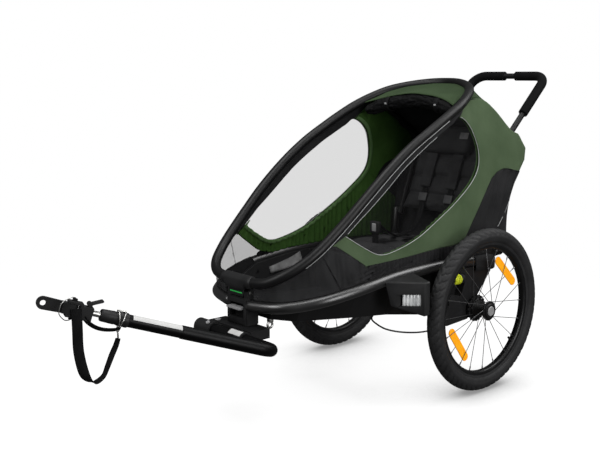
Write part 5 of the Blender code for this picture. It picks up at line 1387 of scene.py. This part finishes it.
def make_piping(hand, sign, cut):
    """Light cords along the window's edge and along the hoop's sleeve."""
    rim = [point for point, angle in zip(cut.window, cut.angles) if angle >= cut.front]
    rim += [point for point, angle in zip(cut.window, cut.angles) if angle <= cut.top]
    front = [point for point, angle in zip(cut.window, cut.angles) if cut.along_hoop(angle)]
    front = [point for point in front if point.x < FRONT_PIPING_Y]
    lines = [[(side_x(*point) + 0.001, *point) for point in line] for line in (rim, front)]
    lines.append(hoop_seam())
    lines.append([(side_x(*point) + 0.003, *point) for point in flat_smooth(REAR_PIPING, 6)])
    for name, line in zip(("window", "front", "hoop", "rear"), lines):
        shape = tube(line, PIPING_RADIUS, 8)
        piece(f"piping_{name}_{hand}", shape, "piping", "fabric", "window_mesh", sign=sign)


def hoop_seam():
    """The seam of the sleeve, on the outer rear quarter of the hoop's tube."""
    path = smooth(HOOP[4:12], 6)
    outward = Vector((0.74, -0.65, 0.16))
    line = []
    for before, point, after in zip(path, path[1:], path[2:]):
        run = (after - before).normalized()
        face = (outward - run * outward.dot(run)).normalized()
        behind = run.cross(face)
        line.append(point + (face * 0.5 + behind * 0.87) * (HOOP_RADIUS + PIPING_RADIUS))
    return line


def along(path, share):
    """The point at a share of a path's length."""
    left = length_of(path) * share
    for first, second in zip(path, path[1:]):
        length = (second - first).length
        if left <= length:
            return first.lerp(second, left / length)
        left -= length
    return path[-1]


def make_front_skirt(hand, sign):
    """Mesh between the hoop's lower run and the lower tube, ahead of the side panel."""
    outline = side_outline()
    seam = [Vector((side_x(*point), *point)) for point in (outline[0], outline[-1])]
    under_hoop = Vector((0.002, 0, -0.008))
    over_tube = Vector((0.002, 0, 0.0145))
    upper = [point + under_hoop for point in smooth(HOOP[1:6], 8) if point.y < -0.58]
    lower = [point + over_tube for point in smooth(LOWER_TUBE[1:6], 8) if point.y < -0.53]
    rows = []
    for step in range(13):
        row = []
        for column in range(49):
            share = column / 48
            point = along([*upper, seam[0]], share).lerp(along([*lower, seam[1]], share), step / 12)
            lift = 0.0016 * gather(point.y, PLEAT_PITCH) + wrinkle(point.y, point.z, 3.0)
            point.x += lift * min(1, 6 * (1 - share))
            row.append(point)
        rows.append(row)
    on_tube = {"rests_on": ["lower_frame"], "sign": sign}
    cloth("front_skirt_" + hand, sheet_of(rows), "mesh", "fabric", "cover_fabric", **on_tube)


# Roof, visor, rear and rolled cover
def crowned_row(y, z, half, back=0.0, up=0.0, columns=48):
    row = []
    for column in range(columns + 1):
        u = 2 * column / columns - 1
        row.append(Vector((half * u, y + back * (1 - u * u), z + up * (1 - u * u))))
    return row


def arch_row(offset, arch=HOOP_ARCH, columns=48):
    """A row along the hoop's arch, moved out from the middle of the arch."""
    line = smooth(list(reversed(arch)), 8)
    row = []
    for column in range(columns + 1):
        x = arch[0][0] * (2 * column / columns - 1)
        point = Vector((x, *where(line, 0, abs(x)).yz))
        row.append(point + (point - ARCH_CENTRE).normalized() * offset)
    return row


def blend_rows(rows, steps):
    """Rows of a smooth surface through the given rows."""
    columns = [smooth([row[index] for row in rows], steps) for index in range(len(rows[0]))]
    return [[column[index] for column in columns] for index in range(len(columns[0]))]


def crease(rows, amount, scale, seed):
    for row in rows:
        for index, point in enumerate(row):
            swell = noise.noise(Vector((point.x * scale, point.y * scale, point.z * scale + seed)))
            row[index] = point + Vector((0, 0.4, 1)).normalized() * swell * amount
    return rows


def roof_rows():
    rows = [arch_row(HOOP_RADIUS * 0.6, HOOP[13:])]
    for y, z, back, up in (ROOF_SHOULDER, *ROOF):
        rows.append(crowned_row(y, z, side_x(y, z) - SEAM_GAP, back, up))
    return crease(blend_rows(rows, 10), 0.0025, 11, 9.0)


def make_roof():
    (edge_y, edge_z), (middle_y, middle_z) = VISOR_EDGE
    front = crowned_row(edge_y, edge_z, VISOR_HALF_WIDTH, middle_y - edge_y, middle_z - edge_z)
    rear = arch_row(-HOOP_RADIUS * 0.6)
    rows = [[a.lerp(b, step / 14) for a, b in zip(front, rear)] for step in range(15)]
    visor = sheet_of(crease(rows, 0.003, 14, 3.0))
    cloth("visor", visor, "roof", "upper_frame", "green_fabric", "roof_visor")
    hem = tube([point - Vector((0, 0.0005, 0.001)) for point in rows[0]], 0.0014, 8)
    piece("visor_hem", hem, "roof", "upper_frame", "green_fabric")
    upper = roof_rows()
    cloth("roof", sheet_of(upper), "roof", "upper_frame", "green_fabric", "roof_panel")
    # Black cloth under the roof, put there to darken the cabin seen through the windows: painted shade.
    under = [[point - Vector((0, 0.003, 0.005)) for point in row] for row in upper]
    lining = sheet_of(under)
    cloth("roof_lining", lining, "black_cloth", "upper_frame", "cover_fabric", rests_on=["roof"])
    tongue = [crowned_row(y, z, TONGUE_HALF_WIDTH) for y, z in ((0.262, 0.768), *ROOF_TONGUE)]
    cloth("roof_tongue", sheet_of(blend_rows(tongue, 6)), "roof", "upper_frame", "green_fabric")
    corner = [(y - 0.002, z) for y, z in REAR_CORNER]
    rear_edge = crowned_row(*ROOF[-1][:2], side_x(*ROOF[-1][:2]) - SEAM_GAP, *ROOF[-1][2:])
    line = (*corner, *REAR, (0.186, 0.396), (0.15, 0.387), (0.098, 0.3875))
    lower = [crowned_row(y, z, side_x(y, z) - SEAM_GAP) for y, z in line]
    back = [rear_edge, *lower]
    shape = sheet_of(crease(blend_rows(back, 8), 0.003, 12, 4.0))
    cloth("rear_cloth", shape, "black_cloth", "fabric", "cover_fabric", "rear_panel")
    make_cover(front)


def make_cover(front):
    """The rain cover, rolled up and strapped under the visor's front edge."""
    drop = Vector((0, COVER_RADIUS / 2, -COVER_RADIUS - 0.0005))
    path = [point + drop for point in smooth(front, 4) if abs(point.x) <= COVER_REACH]
    rings = []
    for point in path:
        past = max(0.0, abs(point.x) - COVER_HALF_LENGTH) / (COVER_REACH - COVER_HALF_LENGTH)
        taper = 1 - 0.35 * past**1.5
        ring = []
        for turn in turns(64):
            around = Vector((2.2 * math.cos(turn), 2.2 * math.sin(turn)))
            fold = noise.noise(Vector((point.x * 22, around.x, around.y)))
            ridge = abs(noise.noise(Vector((point.x * 60, around.x * 1.8, around.y * 1.8 + 9))))
            radius = COVER_RADIUS * 0.97 * taper * (1 + 0.22 * fold - 0.24 * ridge)
            ring.append(point + ray_of(turn) * radius)
        rings.append(ring)
    shape = skin(rings, ends=BOTH_ENDS)
    rolled = piece("cover_roll", shape, "cover", "upper_frame", "cover_fabric", "rolled_cover", sharp=80)
    for name, x in (("left", 0.105), ("right", -0.105)):
        middle = min(path, key=lambda point: abs(point.x - x))
        loop = [middle + ray_of(turn) * COVER_RADIUS * 1.03 for turn in (*turns(40), 2 * math.pi)]
        strap = band(loop, 0.01)
        cloth("cover_strap_" + name, strap, "webbing", "upper_frame", "black_webbing", held="folded")
        # Small catches on the straps, pale grey as painted glints of their hardware.
        low = Vector((x - 0.004, middle.y - 0.028, middle.z - 0.003))
        catch = plain_box(low, low + Vector((0.008, 0.0035, 0.006)), 0.001)
        piece("cover_catch_" + name, catch, "pale", "upper_frame", "pale_grey_plastic")


# Seat
def on_back(x, rise, out):
    """A point on the seat back, by its distance up the back and out from its front face."""
    return REAR_PIVOT + Vector((x, 0, 0)) + SEAT_RISE * rise + SEAT_FORWARD * (BACK_FACE + out)


def back_box(low, high, edge, segments=3):
    """A rounded box laid out on the seat back."""
    shape = plain_box(low, high, edge, segments)
    for vert in shape.verts:
        vert.co = on_back(*vert.co)
    return shape


def settle(made):
    """Keeps the shape that a piece's modifiers give it, and none of the modifiers."""
    graph = bpy.context.evaluated_depsgraph_get()
    mesh = bpy.data.meshes.new_from_object(made.evaluated_get(graph))
    made.modifiers.clear()
    made.data = mesh


def swell(made):
    """Blows a pad up by cloth pressure, and keeps each point within a cap of where it began."""
    begun = [vert.co.copy() for vert in made.data.vertices]
    modifier = made.modifiers.new("swell", "CLOTH")
    modifier.settings.use_pressure = True
    modifier.settings.uniform_pressure_force = PAD_PRESSURE
    modifier.settings.effector_weights.gravity = 0
    modifier.point_cache.frame_end = PAD_FRAMES
    for step in range(1, PAD_FRAMES + 1):
        bpy.context.scene.frame_set(step)
    settle(made)
    bpy.context.scene.frame_set(1)
    for vert, start in zip(made.data.vertices, begun):
        moved = vert.co - start
        if moved.length > PAD_CAP:
            vert.co = start + moved.normalized() * PAD_CAP


def sew(made, foot, run, face, channels):
    """Keeps a pad in front of what it lies on, and sews it down along channels across its length."""
    foot = foot + Vector((0, AXLE_Y, 0))
    for vert in made.data.vertices:
        height = (vert.co - foot).dot(face)
        if height < 0:
            vert.co -= face * height
        along_pad = (vert.co - foot).dot(run)
        share = unit(height / CHANNEL_FADE)
        depth = sum(math.exp(-(((along_pad - channel) / CHANNEL_WIDTH) ** 2)) for channel in channels)
        vert.co -= face * CHANNEL_DEPTH * depth * share


def make_pad(node, fill, foot, run, face, channels):
    """A pad that swells from its solid under cloth pressure, and is sewn into channels."""
    source, shape = welded(node)
    shape.normal_update()
    for vert in shape.verts:
        vert.co -= vert.normal * PAD_INSET
    bmesh.ops.translate(shape, vec=(0, -AXLE_Y, 0), verts=shape.verts)
    made = piece(node + "_pad", shape, "seat", source["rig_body"], "seat_fabric", node, sharp=80)
    remesh = made.modifiers.new("remesh", "REMESH")
    remesh.mode = "VOXEL"
    remesh.voxel_size = PAD_VOXEL
    remesh.use_smooth_shade = True
    settle(made)
    swell(made)
    sew(made, foot, run, face, channels)
    finer = made.modifiers.new("finer", "SUBSURF")
    finer.levels = finer.render_levels = 1


def make_seat():
    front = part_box("seat_cushion")[0]
    foot = Vector((0, front.y - AXLE_Y, front.z))
    make_pad("seat_cushion", 0.7, foot, Vector((0, 1, 0)), Vector((0, 0, 1)), (0.085, 0.165, 0.245))
    foot = REAR_PIVOT + SEAT_FORWARD * STRUT_FACE
    make_pad("seat_back", 0.6, foot, SEAT_RISE, SEAT_FORWARD, (0.065, 0.13, 0.195))
    rest = back_box((-0.1, 0.205, -0.004), (0.1, 0.296, 0.036), 0.016, 5)
    piece("headrest", rest, "seat", "rear_frame", "seat_fabric")
    tag = back_box((0.06, 0.252, 0.0355), (0.094, 0.274, 0.037), 0.0006)
    piece("headrest_tag", tag, "grey_cloth", "rear_frame", "seat_fabric")
    make_harness()


def make_harness():
    """Two shoulder straps that lie down the back and run to a buckle on a stiff stem."""
    line = [on_back(0.055, rise, 0.004) for rise in (0.23, 0.19, 0.15, 0.11, 0.07, 0.035)]
    laid = {"held": "laid", "rests_on": ["seat_back_pad", "seat_cushion_pad"]}
    for hand, sign in HANDS:
        strap = band(smooth((*line, *HARNESS_FOOT), 5), HARNESS_HALF_WIDTH)
        name = "shoulder_strap_" + hand
        cloth(name, strap, "webbing", "harness", "black_webbing", **laid, sign=sign)
        pad = back_box((0.033, 0.085, 0.005), (0.077, 0.205, 0.015), 0.004, 4)
        pad = piece("shoulder_pad_" + hand, pad, "seat", "rear_frame", "seat_fabric", sign=sign)
        slide = back_box((0.038, 0.036, 0.005), (0.072, 0.064, 0.011), 0.002)
        name = "strap_slide_" + hand
        piece(name, slide, "grey_plastic", "rear_frame", "matte_black_plastic", sign=sign)
    half = HARNESS_HALF_WIDTH
    stem = plain_box((-half, -0.1455, 0.424), (half, -0.1425, 0.47), 0.0008)
    piece("buckle_stem", stem, "webbing", "chassis", "black_webbing")
    buckle = plain_box((-0.02, -0.152, 0.462), (0.02, -0.136, 0.5), 0.005, 4)
    piece("buckle", buckle, "plastic", "chassis", "matte_black_plastic")
    button = plain_box((-0.008, -0.1538, 0.468), (0.01, -0.148, 0.494), 0.0022)
    piece("buckle_button", button, "pale", "chassis", "pale_grey_plastic")


LOOKS = make_looks()
make_stage()
make_strap()
make_cables()
make_frame()
make_tow_arm()
make_chassis()
make_clamp()
make_front_details()
for hand_name, hand_sign in HANDS:
    make_wheel(hand_name, hand_sign)
    make_side(hand_name, hand_sign)
make_roof()
make_seat()
boxes = {"cad": cad_box, "visual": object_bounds()}
